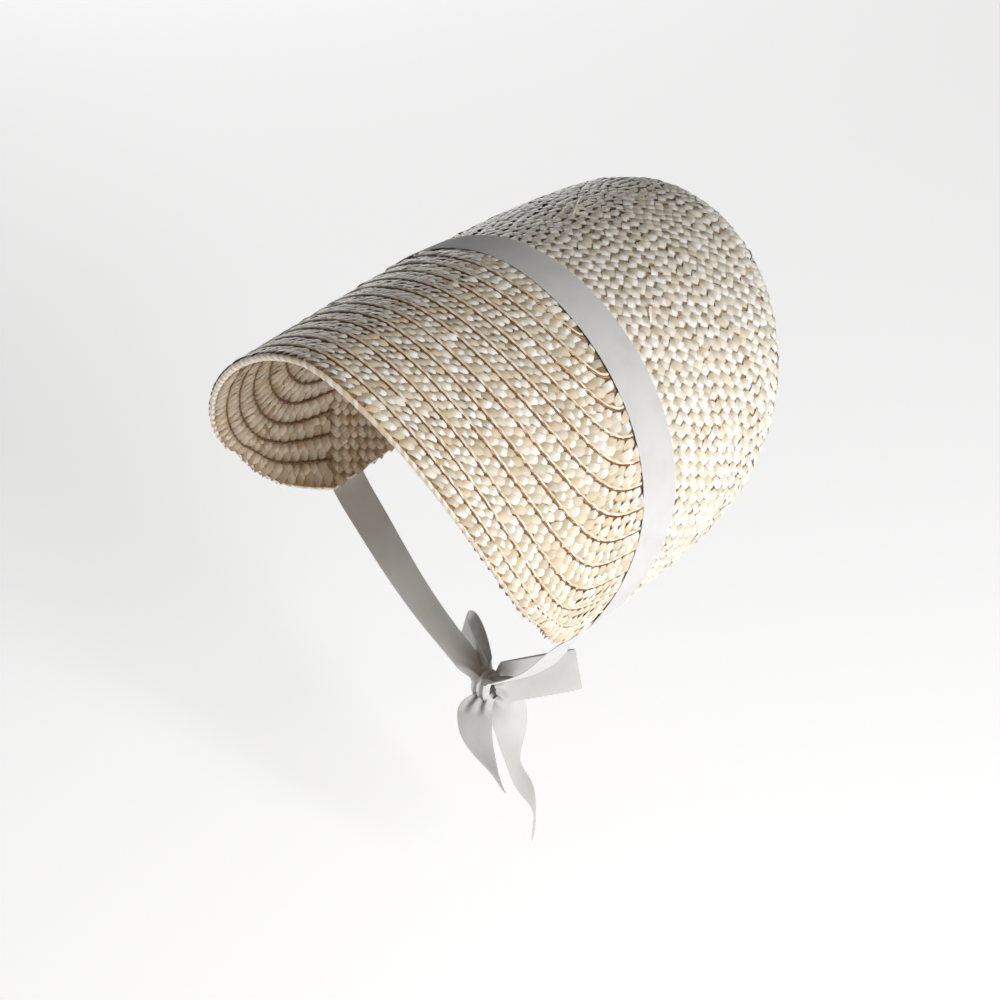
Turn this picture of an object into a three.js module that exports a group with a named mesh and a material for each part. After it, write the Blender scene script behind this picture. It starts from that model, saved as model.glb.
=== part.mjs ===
// Straw bonnet with a deep wrap-around brim, a flat-backed crown and a ribbon tied in a bow under the chin.
// Millimetres, +Z up. The face looks along -Y and the wearer's left is +X.
// The origin is the inside of the crown's top, where it sits on the head.

import * as THREE from 'three';
import { mergeVertices } from 'three/addons/utils/BufferGeometryUtils.js';

// Walls and clearances
const strawWall = 2.4;
const ribbonWall = 1.0;
const clearance = 0.3;

// Half the width over the junction of brim and crown, and how much wider the rim and the tip stand
const halfWidth = 108.6;
const rimFlare = 1.2;
const tipFlare = 1.9;

// Three arches carry the whole form: the front rim, the junction of brim and crown, and the edge of the tip.
// halfWidth and rise are the arch's own half axes, crown is the height of its top above the origin,
// back is how far behind the origin its top stands, and lean, curl and hook bring its legs forward or back.
// point sharpens the top, and end is the angle from the top at which each leg stops.
const rimArch = {
  halfWidth: halfWidth + rimFlare,
  rise: 110.7,
  crown: -5.4,
  back: -146,
  lean: 29.9,
  curl: 6.9,
  hook: 2.8,
  point: 1.22,
  end: 106,
};
const junctionArch = {
  halfWidth,
  rise: 106,
  crown: 2.5,
  back: -20,
  lean: 0.8,
  curl: -13.6,
  hook: 0,
  point: 1.07,
  end: 121.7,
};
const tipArch = {
  halfWidth: halfWidth + tipFlare,
  rise: 93,
  crown: -1.5,
  back: 121,
  lean: -58,
  curl: 0,
  hook: 0,
  point: 1.04,
  end: 123.4,
};

// Brim: overlapping rows of plait, each with a front lip that stands over the row before it
const brimRows = 13;
const plaitLip = 0.9;
const lowerEdgeBelly = 1.5;
const bellyPower = 6;

// Share of a row's depth at which its slope ends, just before the next row's lip
const rowSlopeShare = 0.94;

// Crown: swell of the side between junction and tip, rounding of the tip's edge, dome of the tip
const crownSwell = 2.2;
const tipRounding = 13;
const tipDome = 14;
const tipFold = 60;
const napeArch = 9;

// Ribbon
const ribbonWidth = 22;
const pinchedWidth = 11;
const tieBelly = 7;
const tieSetback = 0.6;

// Where a tie bends away from the cheek and where it sags most, as shares of its way to the knot
const tieBendShare = 0.22;
const tieSagShare = 0.6;

// Bow under the chin
const knot = { side: 4, back: -27, drop: 250, width: 13, depth: 12, height: 15 };
const loop = { length: 43, opening: 8, pinch: 14, fullness: 2.6, closing: 0.87 };

// How far aside and forward the ties and the tails stand at the knot, beside one part up or down
const tieSplay = 0.28;
const tieForward = 0.35;
const tailSplay = 0.12;
const tailForward = 0.4;

// Directions in which the loops leave the knot, as shares of the loop's length, and how far their faces lean
const loopAims = {
  left: { side: 0.62, back: 0.72, up: 0.16, lean: -30 },
  right: { side: -0.82, back: 0.5, up: 0.1, lean: 12 },
};

// Tails: where each one passes, as shares of its own length from the knot, and how far it has turned there
const tailLength = { left: 62, right: 96 };
const tailStations = {
  left: [
    { side: 0.0, back: 0.0, down: 0.0, turn: 8 },
    { side: 0.02, back: -0.14, down: 0.08, turn: 12 },
    { side: 0.08, back: -0.2, down: 0.28, turn: 8 },
    { side: 0.17, back: -0.16, down: 0.56, turn: -8 },
    { side: 0.27, back: -0.08, down: 0.8, turn: -26 },
  ],
  right: [
    { side: 0.0, back: 0.0, down: 0.0, turn: 20 },
    { side: 0.08, back: 0.06, down: 0.14, turn: 80 },
    { side: 0.2, back: 0.02, down: 0.48, turn: 124 },
    { side: 0.26, back: 0.1, down: 0.7, turn: 134 },
    { side: 0.27, back: 0.1, down: 0.92, turn: 128 },
  ],
};

// Numbers of steps along and across each surface
const steps = {
  brimAround: 42,
  crownAround: 44,
  crownSide: 4,
  crownEdge: 3,
  crownTip: 5,
  band: 40,
  tie: 14,
  loop: 20,
  tail: 14,
  knotAround: 14,
  knotUp: 9,
};

// Distance between the two points that a surface's slope is taken from, as a share of its parameter
const slopeReach = 0.004;

const strawMaterial = new THREE.MeshStandardMaterial({ color: 0xd8c8a4, roughness: 0.45, metalness: 0 });
const strawBrimMaterial = new THREE.MeshStandardMaterial({ color: 0xcdb892, roughness: 0.45, metalness: 0 });
const ribbonMaterial = new THREE.MeshStandardMaterial({ color: 0xe6e4dd, roughness: 0.7, metalness: 0 });

const up = new THREE.Vector3(0, 0, 1);
const radians = THREE.MathUtils.degToRad;
const mix = (a, b, share) => a.clone().lerp(b, share);

// A signed power keeps the left half of an arch a mirror of its right half.
function signedPower(value, power) {
  return Math.sign(value) * Math.pow(Math.abs(value), power);
}

// Point of an arch. place runs from -1 at the right leg's end, through 0 at the top, to 1 at the left leg's end.
function archPoint(arch, place) {
  const angle = radians(arch.end) * place;
  const fall = 1 - Math.cos(angle);
  return new THREE.Vector3(
    arch.halfWidth * signedPower(Math.sin(angle), arch.point),
    arch.back + arch.lean * fall + arch.curl * fall ** 2 + arch.hook * fall ** 3,
    arch.crown - arch.rise * (1 - signedPower(Math.cos(angle), arch.point)),
  );
}

// Outward normal of a surface point, from its neighbours along both parameters.
function surfaceNormal(surface, a, b) {
  const lowA = Math.max(a - slopeReach, surface.lowA);
  const highA = Math.min(a + slopeReach, surface.highA);
  const lowB = Math.max(b - slopeReach, surface.lowB);
  const highB = Math.min(b + slopeReach, surface.highB);
  const alongA = surface.point(highA, b).sub(surface.point(lowA, b));
  const alongB = surface.point(a, highB).sub(surface.point(a, lowB));
  return alongA.cross(alongB).normalize();
}

// Closed solid between two grids of points with the same rows and columns. Where the last row folds shut
// on itself, its points are joined and it needs no edge wall.
function solidBetween(outer, inner, lastRowFolds = false) {
  const rows = outer.length;
  const columns = outer[0].length;
  const positions = [...outer.flat(), ...inner.flat()].flatMap((p) => [p.x, p.y, p.z]);
  const out = (r, c) => r * columns + c;
  const into = (r, c) => rows * columns + r * columns + c;
  const triangles = [];
  const quad = (a, b, c, d) => triangles.push([a, b, c], [a, c, d]);
  for (let r = 0; r < rows - 1; r += 1) {
    for (let c = 0; c < columns - 1; c += 1) {
      quad(out(r, c), out(r, c + 1), out(r + 1, c + 1), out(r + 1, c));
      quad(into(r, c), into(r + 1, c), into(r + 1, c + 1), into(r, c + 1));
    }
    quad(out(r, 0), out(r + 1, 0), into(r + 1, 0), into(r, 0));
    quad(out(r, columns - 1), into(r, columns - 1), into(r + 1, columns - 1), out(r + 1, columns - 1));
  }
  for (let c = 0; c < columns - 1; c += 1) {
    quad(out(0, c), into(0, c), into(0, c + 1), out(0, c + 1));
    if (lastRowFolds) continue;
    quad(out(rows - 1, c), out(rows - 1, c + 1), into(rows - 1, c + 1), into(rows - 1, c));
  }
  return joinedGeometry(positions, triangles);
}

// Joins points that coincide, and drops triangles that fold to a line.
function joinedGeometry(positions, triangles) {
  const loose = new THREE.BufferGeometry();
  loose.setAttribute('position', new THREE.Float32BufferAttribute(positions, 3));
  loose.setIndex(triangles.flat());
  const joined = mergeVertices(loose, 1e-3);
  const index = joined.getIndex().array;
  const kept = [];
  for (let i = 0; i < index.length; i += 3) {
    const corners = [index[i], index[i + 1], index[i + 2]];
    if (new Set(corners).size === 3) kept.push(...corners);
  }
  joined.setIndex(kept);
  joined.computeVertexNormals();
  return joined;
}

function namedMesh(name, geometry, material) {
  const mesh = new THREE.Mesh(geometry, material);
  mesh.name = name;
  return mesh;
}

// Brim

// The lower corner of a row is nearly square at the rim and rounder in each row behind it.
const cornerSquareness = (depth) => 2 + 8 * Math.exp(-4.5 * depth);

// How far down the junction a row still reaches. The deeper rows are cut off sooner by the crown.
const rowReach = (depth) => 1 - 0.65 * depth - 0.16 * depth * (1 - depth) - 0.2 * depth ** 8;

// Share of a row's half length that runs along the front, before the row turns back to the crown.
const frontShare = 0.8;

// A point of the brim's outer skin: depth 0 is the rim and 1 the row at the crown's top, and along runs
// from -1 to 1 between the row's two ends at the crown. Each row is a squared-off arc round the crown's arch.
function brimPoint(along, depth) {
  const size = Math.abs(along);
  const square = cornerSquareness(depth);
  const sideways = Math.min(1, size / frontShare);
  const forward = Math.min(1, (1 - size) / (1 - frontShare));
  const scale = Math.pow(sideways ** square + forward ** square, 1 / square);
  const place = Math.sign(along) * rowReach(depth) * (sideways / scale);
  const back = 1 - (1 - depth) * (forward / scale);
  const front = archPoint(rimArch, place);
  const rear = archPoint(junctionArch, place);
  const reach = 1 - clearance / front.distanceTo(rear);
  const point = mix(front, rear, back * reach);
  point.z -= lowerEdgeBelly * 4 * back * (1 - back) * Math.abs(place) ** bellyPower;
  return point;
}

function brimGeometry() {
  const skin = { point: brimPoint, lowA: -1, highA: 1, lowB: 0, highB: 1 };
  const lines = [];
  for (let row = 0; row < brimRows; row += 1) {
    lines.push({ depth: row / brimRows, lip: plaitLip });
    lines.push({ depth: (row + rowSlopeShare) / brimRows, lip: 0 });
  }
  const outer = [];
  const inner = [];
  for (const { depth, lip } of lines) {
    const outerLine = [];
    const innerLine = [];
    for (let i = 0; i <= steps.brimAround; i += 1) {
      const along = (2 * i) / steps.brimAround - 1;
      const base = brimPoint(along, depth);
      const normal = surfaceNormal(skin, along, depth);
      outerLine.push(base.clone().addScaledVector(normal, lip));
      innerLine.push(base.clone().addScaledVector(normal, -strawWall));
    }
    outer.push(outerLine);
    inner.push(innerLine);
  }
  return solidBetween(outer, inner);
}

// Crown

const tipLowest = archPoint(tipArch, 1);
const tipHighest = archPoint(tipArch, 0);
const tipDown = tipLowest.clone().sub(tipHighest).setX(0).normalize();
const tipOut = new THREE.Vector3(1, 0, 0).cross(tipDown).normalize();

// The tip's rows close on an upright fold in the middle of the tip.
function tipFoldPoint(place) {
  const edge = archPoint(tipArch, place);
  const share = (edge.z - tipLowest.z) / (tipHighest.z - tipLowest.z);
  const start = tipLowest.clone().setX(0).addScaledVector(tipDown, -napeArch);
  return start.addScaledVector(tipDown, -tipFold * share);
}

// A point of the crown's outer skin: around runs from -1 to 1 between the two ends at the nape. run is 0
// at the junction, 1 where the side meets the tip's rounded edge, 2 where that edge ends, and 3 at the fold.
function crownPoint(around, run) {
  const start = archPoint(junctionArch, around);
  const edge = archPoint(tipArch, around);
  const side = edge.clone().sub(start);
  const sideLength = side.length();
  const sideway = side.clone().normalize();
  const fold = tipFoldPoint(around);
  const inward = fold.clone().sub(edge);
  const inwardLength = inward.length();
  const inwards = inward.clone().normalize();
  if (run <= 1) {
    const share = run * (1 - tipRounding / sideLength);
    const axis = new THREE.Vector3(0, start.y, junctionArch.crown - junctionArch.rise);
    const outwards = start.clone().sub(axis).projectOnPlane(sideway).normalize();
    const point = start.clone().addScaledVector(side, share);
    return point.addScaledVector(outwards, crownSwell * Math.sin(Math.PI * run) * Math.sin((Math.PI / 2) * run));
  }
  if (run <= 2) {
    const turn = run - 1;
    const before = edge.clone().addScaledVector(sideway, -tipRounding);
    const after = edge.clone().addScaledVector(inwards, tipRounding);
    return mix(mix(before, edge, turn), mix(edge, after, turn), turn);
  }
  const share = run - 2;
  const from = edge.clone().addScaledVector(inwards, tipRounding);
  const point = mix(from, fold, share);
  const rise = tipDome * (1 - (1 - share) ** 2) * Math.min(1, inwardLength / tipArch.halfWidth);
  return point.addScaledVector(tipOut, rise);
}

function crownLines() {
  const lines = [];
  for (let i = 0; i < steps.crownSide; i += 1) lines.push(i / steps.crownSide);
  for (let i = 0; i < steps.crownEdge; i += 1) lines.push(1 + i / steps.crownEdge);
  for (let i = 0; i <= steps.crownTip; i += 1) lines.push(2 + i / steps.crownTip);
  return lines;
}

function crownGeometry() {
  const skin = { point: crownPoint, lowA: -1, highA: 1, lowB: 0, highB: 3 };
  const outer = [];
  const inner = [];
  for (const run of crownLines()) {
    const outerLine = [];
    const innerLine = [];
    for (let i = 0; i <= steps.crownAround; i += 1) {
      const around = (2 * i) / steps.crownAround - 1;
      const base = crownPoint(around, run);
      const normal = surfaceNormal(skin, around, run);
      const onFold = run === 3;
      if (onFold) normal.copy(tipOut);
      outerLine.push(base);
      innerLine.push(base.clone().addScaledVector(normal, -strawWall));
    }
    outer.push(outerLine);
    inner.push(innerLine);
  }
  return solidBetween(outer, inner, true);
}

// Ribbon

// The band lies on the crown's side, its front edge on the junction.
function bandPoint(around, across, lift) {
  const start = archPoint(junctionArch, around);
  const edge = archPoint(tipArch, around);
  const sideLength = edge.distanceTo(start) - tipRounding;
  const run = (ribbonWidth * across) / sideLength;
  const skin = { point: crownPoint, lowA: -1, highA: 1, lowB: 0, highB: 3 };
  return crownPoint(around, run).addScaledVector(surfaceNormal(skin, around, run), lift);
}

function bandGeometry() {
  const outer = [];
  const inner = [];
  for (const across of [0, 0.5, 1]) {
    const outerLine = [];
    const innerLine = [];
    for (let i = 0; i <= steps.band; i += 1) {
      const around = (2 * i) / steps.band - 1;
      outerLine.push(bandPoint(around, across, clearance + ribbonWall));
      innerLine.push(bandPoint(around, across, clearance));
    }
    outer.push(outerLine);
    inner.push(innerLine);
  }
  return solidBetween(outer, inner);
}

// A flat strip along a route. Each station gives its middle, the direction across it and its width.
function stripGeometry(stations, wall) {
  const outer = [];
  const inner = [];
  stations.forEach((station, i) => {
    const before = stations[Math.max(0, i - 1)].middle;
    const after = stations[Math.min(stations.length - 1, i + 1)].middle;
    const onward = after.clone().sub(before).normalize();
    const across = station.across.clone().normalize();
    const face = across.clone().cross(onward).normalize();
    const edge = (side, height) => station.middle.clone()
      .addScaledVector(across, side * station.width / 2)
      .addScaledVector(face, height);
    outer.push([edge(-1, wall / 2), edge(0, wall / 2), edge(1, wall / 2)]);
    inner.push([edge(-1, -wall / 2), edge(0, -wall / 2), edge(1, -wall / 2)]);
  });
  return solidBetween(outer, inner);
}

const knotCentre = new THREE.Vector3(knot.side, knot.back, -knot.drop);

// Where a strip that leaves the knot in a direction begins, just clear of the knot's skin.
function knotSkin(direction) {
  const shares = new THREE.Vector3(knot.width / 2, knot.depth / 2, knot.height / 2);
  const radius = 1 / direction.clone().divide(shares).length();
  return knotCentre.clone().addScaledVector(direction, radius + clearance);
}

// Width of a strip that is pinched at the knot and opens out over the pinch length.
function pinchedTo(distance) {
  const open = THREE.MathUtils.smoothstep(distance, 0, loop.pinch);
  return pinchedWidth + (ribbonWidth - pinchedWidth) * open;
}

// Each tie goes on from an end of the band, turns flat along the cheek and runs to the knot.
function tieGeometry(side) {
  const lift = clearance + ribbonWall / 2;
  const front = bandPoint(side, 0, lift);
  const rear = bandPoint(side, 1, lift);
  const acrossBand = rear.clone().sub(front).normalize();
  const ending = bandPoint(side * 0.98, 0.5, lift);
  const leaving = bandPoint(side, 0.5, lift).sub(ending).normalize();
  const start = mix(front, rear, 0.5).addScaledVector(leaving, clearance * 2).addScaledVector(acrossBand, tieSetback);
  const finish = knotSkin(new THREE.Vector3(side * tieSplay, -tieForward, 1).normalize());
  const length = start.distanceTo(finish);
  const bend = mix(start, finish, tieBendShare).addScaledVector(leaving, tieBelly);
  const sag = mix(start, finish, tieSagShare).add(new THREE.Vector3(side * tieBelly / 2, 0, -tieBelly));
  const near = finish.clone().add(new THREE.Vector3(side * pinchedWidth, 0, pinchedWidth / 3));
  const route = new THREE.CatmullRomCurve3([start, bend, sag, near, finish]);
  const stations = [];
  for (let i = 0; i <= steps.tie; i += 1) {
    const share = i / steps.tie;
    const across = mix(acrossBand, new THREE.Vector3(0, 1, tieForward), share).normalize();
    const width = pinchedTo((1 - share) * length);
    stations.push({ middle: route.getPoint(share), across, width });
  }
  return stripGeometry(stations, ribbonWall);
}

// The knot is an egg, flattened front and back by the ribbon wound round it.
function knotGeometry() {
  const egg = new THREE.SphereGeometry(0.5, steps.knotAround, steps.knotUp);
  egg.scale(knot.width, knot.depth, knot.height);
  const positions = [...egg.getAttribute('position').array];
  const index = [...egg.getIndex().array];
  const triangles = [];
  for (let i = 0; i < index.length; i += 3) triangles.push(index.slice(i, i + 3));
  return joinedGeometry(positions, triangles);
}

// A loop leaves the knot, swells, turns back at its far end and returns behind itself.
function loopGeometry(side) {
  const aim = side > 0 ? loopAims.left : loopAims.right;
  const along = new THREE.Vector3(aim.side, aim.back, aim.up).normalize();
  const faceAcross = up.clone().projectOnPlane(along).normalize().applyAxisAngle(along, radians(aim.lean));
  const opening = faceAcross.clone().cross(along).normalize();
  const root = knotSkin(along);
  const stations = [];
  for (let i = 0; i <= steps.loop; i += 1) {
    const turn = (i / steps.loop) * 2 - 1;
    const outwards = 1 - Math.abs(turn) ** loop.fullness;
    const aside = turn * (1 - loop.closing * Math.abs(turn) ** 3);
    const middle = root.clone()
      .addScaledVector(along, loop.length * outwards)
      .addScaledVector(opening, loop.opening * aside);
    stations.push({ middle, across: faceAcross, width: pinchedTo(loop.length * outwards) });
  }
  return stripGeometry(stations, ribbonWall);
}

// A tail hangs from the underside of the knot and turns as it falls.
function tailGeometry(side) {
  const name = side > 0 ? 'left' : 'right';
  const length = tailLength[name];
  const table = tailStations[name];
  const root = knotSkin(new THREE.Vector3(side * tailSplay, -side * tailForward, -1).normalize());
  const at = (row) => root.clone().add(new THREE.Vector3(row.side, row.back, -row.down).multiplyScalar(length));
  const route = new THREE.CatmullRomCurve3(table.map(at));
  const turns = new THREE.CatmullRomCurve3(table.map((row) => new THREE.Vector3(row.turn, 0, 0)));
  const stations = [];
  for (let i = 0; i <= steps.tail; i += 1) {
    const share = i / steps.tail;
    const angle = radians(turns.getPoint(share).x);
    const across = new THREE.Vector3(Math.cos(angle), Math.sin(angle), 0);
    stations.push({ middle: route.getPoint(share), across, width: pinchedTo(share * length) });
  }
  return stripGeometry(stations, ribbonWall);
}

const bonnet = new THREE.Group();
bonnet.add(namedMesh('crown', crownGeometry(), strawMaterial));
bonnet.add(namedMesh('brim', brimGeometry(), strawBrimMaterial));
bonnet.add(namedMesh('ribbon_band', bandGeometry(), ribbonMaterial));
bonnet.add(namedMesh('tie_left', tieGeometry(1), ribbonMaterial));
bonnet.add(namedMesh('tie_right', tieGeometry(-1), ribbonMaterial));
const knotMesh = namedMesh('bow_knot', knotGeometry(), ribbonMaterial);
knotMesh.position.copy(knotCentre);
bonnet.add(knotMesh);
bonnet.add(namedMesh('bow_loop_left', loopGeometry(1), ribbonMaterial));
bonnet.add(namedMesh('bow_loop_right', loopGeometry(-1), ribbonMaterial));
bonnet.add(namedMesh('tail_left', tailGeometry(1), ribbonMaterial));
bonnet.add(namedMesh('tail_right', tailGeometry(-1), ribbonMaterial));

export default bonnet;
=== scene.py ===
"""Looks of a straw bonnet: rows of plaited straw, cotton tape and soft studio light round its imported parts.

Metres, +Z up. The face looks along -Y and the wearer's left is +X. The origin is the inside of the crown's
top. The arches and rows repeat the sizes of the part's own source, so that the splints lie on its shells.
"""

import logging
import math
from collections.abc import Callable
from dataclasses import dataclass, field, replace
from enum import Enum

import bpy
import numpy as np
from mathutils import Matrix, Vector


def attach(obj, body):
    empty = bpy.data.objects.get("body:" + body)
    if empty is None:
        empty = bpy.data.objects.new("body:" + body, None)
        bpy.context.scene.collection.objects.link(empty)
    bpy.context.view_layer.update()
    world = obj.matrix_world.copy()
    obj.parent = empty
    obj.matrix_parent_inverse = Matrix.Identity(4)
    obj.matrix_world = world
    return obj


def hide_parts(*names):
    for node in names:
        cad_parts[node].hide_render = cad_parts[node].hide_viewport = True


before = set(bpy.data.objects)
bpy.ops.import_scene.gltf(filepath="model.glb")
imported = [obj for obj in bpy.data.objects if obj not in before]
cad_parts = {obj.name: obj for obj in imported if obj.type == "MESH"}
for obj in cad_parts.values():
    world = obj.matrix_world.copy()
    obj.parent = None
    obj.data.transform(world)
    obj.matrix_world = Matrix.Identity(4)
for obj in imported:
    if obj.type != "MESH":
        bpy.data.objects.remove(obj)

MM = 0.001
BODY = "root"
log = logging.getLogger("bonnet")

# A Line is an edge's or a tape's points, its directions across, and its normals or its widths
Array = np.ndarray
Line = tuple[Array, Array, Array]
Material = bpy.types.Material
Piece = bpy.types.Object
Socket = bpy.types.NodeSocket


class Slot(Enum):
    """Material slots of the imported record."""

    CROWN = "crown_straw"
    BRIM = "brim_straw"
    RIBBON = "ribbon"


class Side(Enum):
    """The wearer's sides, as signs of x."""

    LEFT = 1
    RIGHT = -1


# Small helpers for arrays


def signed_power(value: Array, power: float) -> Array:
    """A power that keeps the sign, so that both halves of an arch mirror each other."""
    return np.sign(value) * np.abs(value) ** power


def unit(vectors: Array) -> Array:
    """Vectors scaled to length one."""
    return vectors / np.maximum(np.linalg.norm(vectors, axis=-1, keepdims=True), 1e-12)


def mix(a: Array, b: Array, share: Array | float) -> Array:
    """Point between a and b at a share of the way."""
    return a + (b - a) * share


def smoothstep(value: Array | float, low: float, high: float) -> Array:
    """Rises from 0 at low to 1 at high with level ends: 3 t squared minus 2 t cubed."""
    t = np.clip((np.asarray(value, float) - low) / (high - low), 0, 1)
    return t * t * (3 - 2 * t)


def distances(points: Array) -> Array:
    """Distance of each point from the first, along the line that joins them."""
    return np.concatenate([[0], np.cumsum(np.linalg.norm(np.diff(points, axis=0), axis=1))])


def evenly_spaced(curve: Array, count: int) -> Array:
    """The same curve as count points at equal distances along it.

    Args:
        curve: points of the curve.
        count: the number of points returned.

    Returns:
        An array of count points.
    """
    run = distances(curve)
    places = np.linspace(0, run[-1], count)
    return np.stack([np.interp(places, run, curve[:, axis]) for axis in range(3)], axis=-1)


def smooth_route(points: list, count: int, fineness: int = 40) -> Array:
    """Points evenly spread along a smooth curve through the given ones.

    Each piece is a cubic. Its slope at a point is worked out from that point and its two neighbours, set
    apart by the roots of their distances, which keeps uneven pieces from looping.

    Args:
        points: the points that the route passes, in order.
        count: the number of points returned.
        fineness: how many points of the curve are worked out for each given one.

    Returns:
        An array of count points.
    """
    known = np.array(points, float)
    knots = np.concatenate([[0], np.cumsum(np.sqrt(np.linalg.norm(np.diff(known, axis=0), axis=1)))])
    slopes = np.gradient(known, knots, axis=0)
    fine = np.linspace(0, knots[-1], fineness * len(known))
    piece = np.clip(np.searchsorted(knots, fine, side="right") - 1, 0, len(known) - 2)
    span = (knots[piece + 1] - knots[piece])[:, None]
    t = (fine - knots[piece])[:, None] / span
    start, end = known[piece], known[piece + 1]
    leave, arrive = slopes[piece] * span, slopes[piece + 1] * span
    curve = (
        start * (2 * t**3 - 3 * t**2 + 1)
        + leave * (t**3 - 2 * t**2 + t)
        + end * (3 * t**2 - 2 * t**3)
        + arrive * (t**3 - t**2)
    )
    return evenly_spaced(curve, count)


# Form of the bonnet


@dataclass(frozen=True)
class Arch:
    """One of the three arches that carry the form.

    half_width and rise are its half axes, crown and back the height and place of its top. lean, curl and
    hook bring its legs forward or back, point sharpens its top, and end is the angle where each leg stops.
    """

    half_width: float
    rise: float
    crown: float
    back: float
    lean: float
    point: float
    end: float
    curl: float = 0.0
    hook: float = 0.0

    def points(self, place: Array) -> Array:
        """Points at places from -1, the right leg's end, through 0, the top, to 1.

        With fall as 1 minus the angle's cosine, x is the half width times the sine's power, y is a cubic in
        fall, and z drops by the rise times 1 minus the cosine's power.

        Args:
            place: places on the arch, from -1 to 1.

        Returns:
            Their points, in metres.
        """
        angle = math.radians(self.end) * place
        fall = 1 - np.cos(angle)
        x = self.half_width * signed_power(np.sin(angle), self.point)
        y = self.back + self.lean * fall + self.curl * fall**2 + self.hook * fall**3
        z = self.crown - self.rise * (1 - signed_power(np.cos(angle), self.point))
        return np.stack([x, y, z], axis=-1) * MM


@dataclass(frozen=True)
class BonnetForm:
    """The bonnet's two outer skins, as functions of two parameters. Its own sizes are in millimetres."""

    rim: Arch = Arch(109.8, 110.7, -5.4, -146, 29.9, 1.22, 106, curl=6.9, hook=2.8)
    junction: Arch = Arch(108.6, 106, 2.5, -20, 0.8, 1.07, 121.7, curl=-13.6)
    tip: Arch = Arch(110.5, 93, -1.5, 121, -58, 1.04, 123.4)
    wall: float = 2.4
    clearance: float = 0.3
    brim_rows: int = 13
    plait_lip: float = 0.9
    lower_belly: float = 1.5
    belly_power: int = 6
    front_share: float = 0.8
    crown_swell: float = 2.2
    tip_rounding: float = 13.0
    tip_dome: float = 14.0
    tip_fold: float = 60.0
    nape_arch: float = 9.0

    @staticmethod
    def corner_squareness(depth: Array) -> Array:
        """Power of a row's arc: nearly square at the rim, and rounder in each row behind it."""
        return 2 + 8 * np.exp(-4.5 * depth)

    @staticmethod
    def row_reach(depth: Array) -> Array:
        """How far down the junction a row still reaches. The crown cuts the deeper rows off sooner."""
        return 1 - 0.65 * depth - 0.16 * depth * (1 - depth) - 0.2 * np.abs(depth) ** 8

    def brim(self, along: Array, depth: Array) -> Array:
        """Points of the brim's outer skin, depth 0 at the rim and 1 at the crown.

        Each row is a squared-off arc: sideways and forward shares of the way are scaled so that the sum of
        their powers is one. The point lies between rim and junction at the row's own share.

        Args:
            along: places along a row, from -1, its right end at the crown, to 1.
            depth: places from rim to crown, from 0 to 1.

        Returns:
            Their points, in metres.
        """
        along, depth = np.broadcast_arrays(np.asarray(along, float), np.asarray(depth, float))
        size = np.abs(along)
        square = self.corner_squareness(depth)
        sideways = np.minimum(1, size / self.front_share)
        forward = np.clip((1 - size) / (1 - self.front_share), 0, 1)
        scale = (sideways**square + forward**square) ** (1 / square)
        place = np.sign(along) * self.row_reach(depth) * sideways / scale
        back = 1 - (1 - depth) * forward / scale
        front, rear = self.rim.points(place), self.junction.points(place)
        gap = self.clearance * MM / np.linalg.norm(rear - front, axis=-1)
        point = mix(front, rear, (back * (1 - gap))[..., None])
        point[..., 2] -= self.lower_belly * MM * 4 * back * (1 - back) * np.abs(place) ** self.belly_power
        return point

    def crown(self, around: Array, run: Array) -> Array:
        """Points of the crown's outer skin.

        Run 0 to 1 is the side, from the junction to the rounded edge, with a slight swell of two sines.
        Run 1 to 2 is the edge, a quadratic between side and tip, and run 2 to 3 the tip, which domes up to
        its fold.

        Args:
            around: places round the arches, from -1 to 1.
            run: places from the junction back to the tip's fold, from 0 to 3.

        Returns:
            Their points, in metres.
        """
        around, run = np.broadcast_arrays(np.asarray(around, float), np.asarray(run, float))
        start, edge = self.junction.points(around), self.tip.points(around)
        length = np.linalg.norm(edge - start, axis=-1, keepdims=True)
        way = (edge - start) / length
        fold = self.tip_fold_points(edge)
        inward = fold - edge
        inward_length = np.linalg.norm(inward, axis=-1, keepdims=True)
        rounding = self.tip_rounding * MM
        run = run[..., None]
        middle = start * [0, 1, 0] + np.array([0, 0, self.junction.crown - self.junction.rise]) * MM
        outwards = start - middle
        outwards = unit(outwards - way * (outwards * way).sum(-1, keepdims=True))
        held = np.clip(run, 0, 1)
        swell = self.crown_swell * MM * np.sin(np.pi * held) * np.sin(np.pi / 2 * held)
        on_side = start + (edge - start) * np.minimum(run, 1) * (1 - rounding / length) + outwards * swell
        turn = np.clip(run - 1, 0, 1)
        before, after = edge - way * rounding, edge + unit(inward) * rounding
        on_edge = mix(mix(before, edge, turn), mix(edge, after, turn), turn)
        share = np.clip(run - 2, 0, 1)
        rise = self.tip_dome * MM * (1 - (1 - share) ** 2)
        rise = rise * np.minimum(1, inward_length / (self.tip.half_width * MM))
        on_tip = mix(after, fold, share) + self.tip_axes()[1] * rise
        return np.where(run <= 1, on_side, np.where(run <= 2, on_edge, on_tip))

    def tip_axes(self) -> tuple[Array, Array]:
        """The tip's own downward direction, and its outward one.

        Returns:
            Two unit directions.
        """
        low, high = self.tip.points(np.array(1.0)), self.tip.points(np.array(0.0))
        down = unit((low - high) * [0, 1, 1])
        return down, unit(np.cross([1, 0, 0], down))

    def tip_fold_points(self, edge: Array) -> Array:
        """Points of the upright fold in the tip's middle, at the same share of the height as the edge's.

        Args:
            edge: points of the tip's edge.

        Returns:
            The fold's point for each of them.
        """
        low, high = self.tip.points(np.array(1.0)), self.tip.points(np.array(0.0))
        share = (edge[..., 2:] - low[2]) / (high[2] - low[2])
        down = self.tip_axes()[0]
        return low * [0, 1, 1] - down * self.nape_arch * MM - down * self.tip_fold * MM * share

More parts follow.
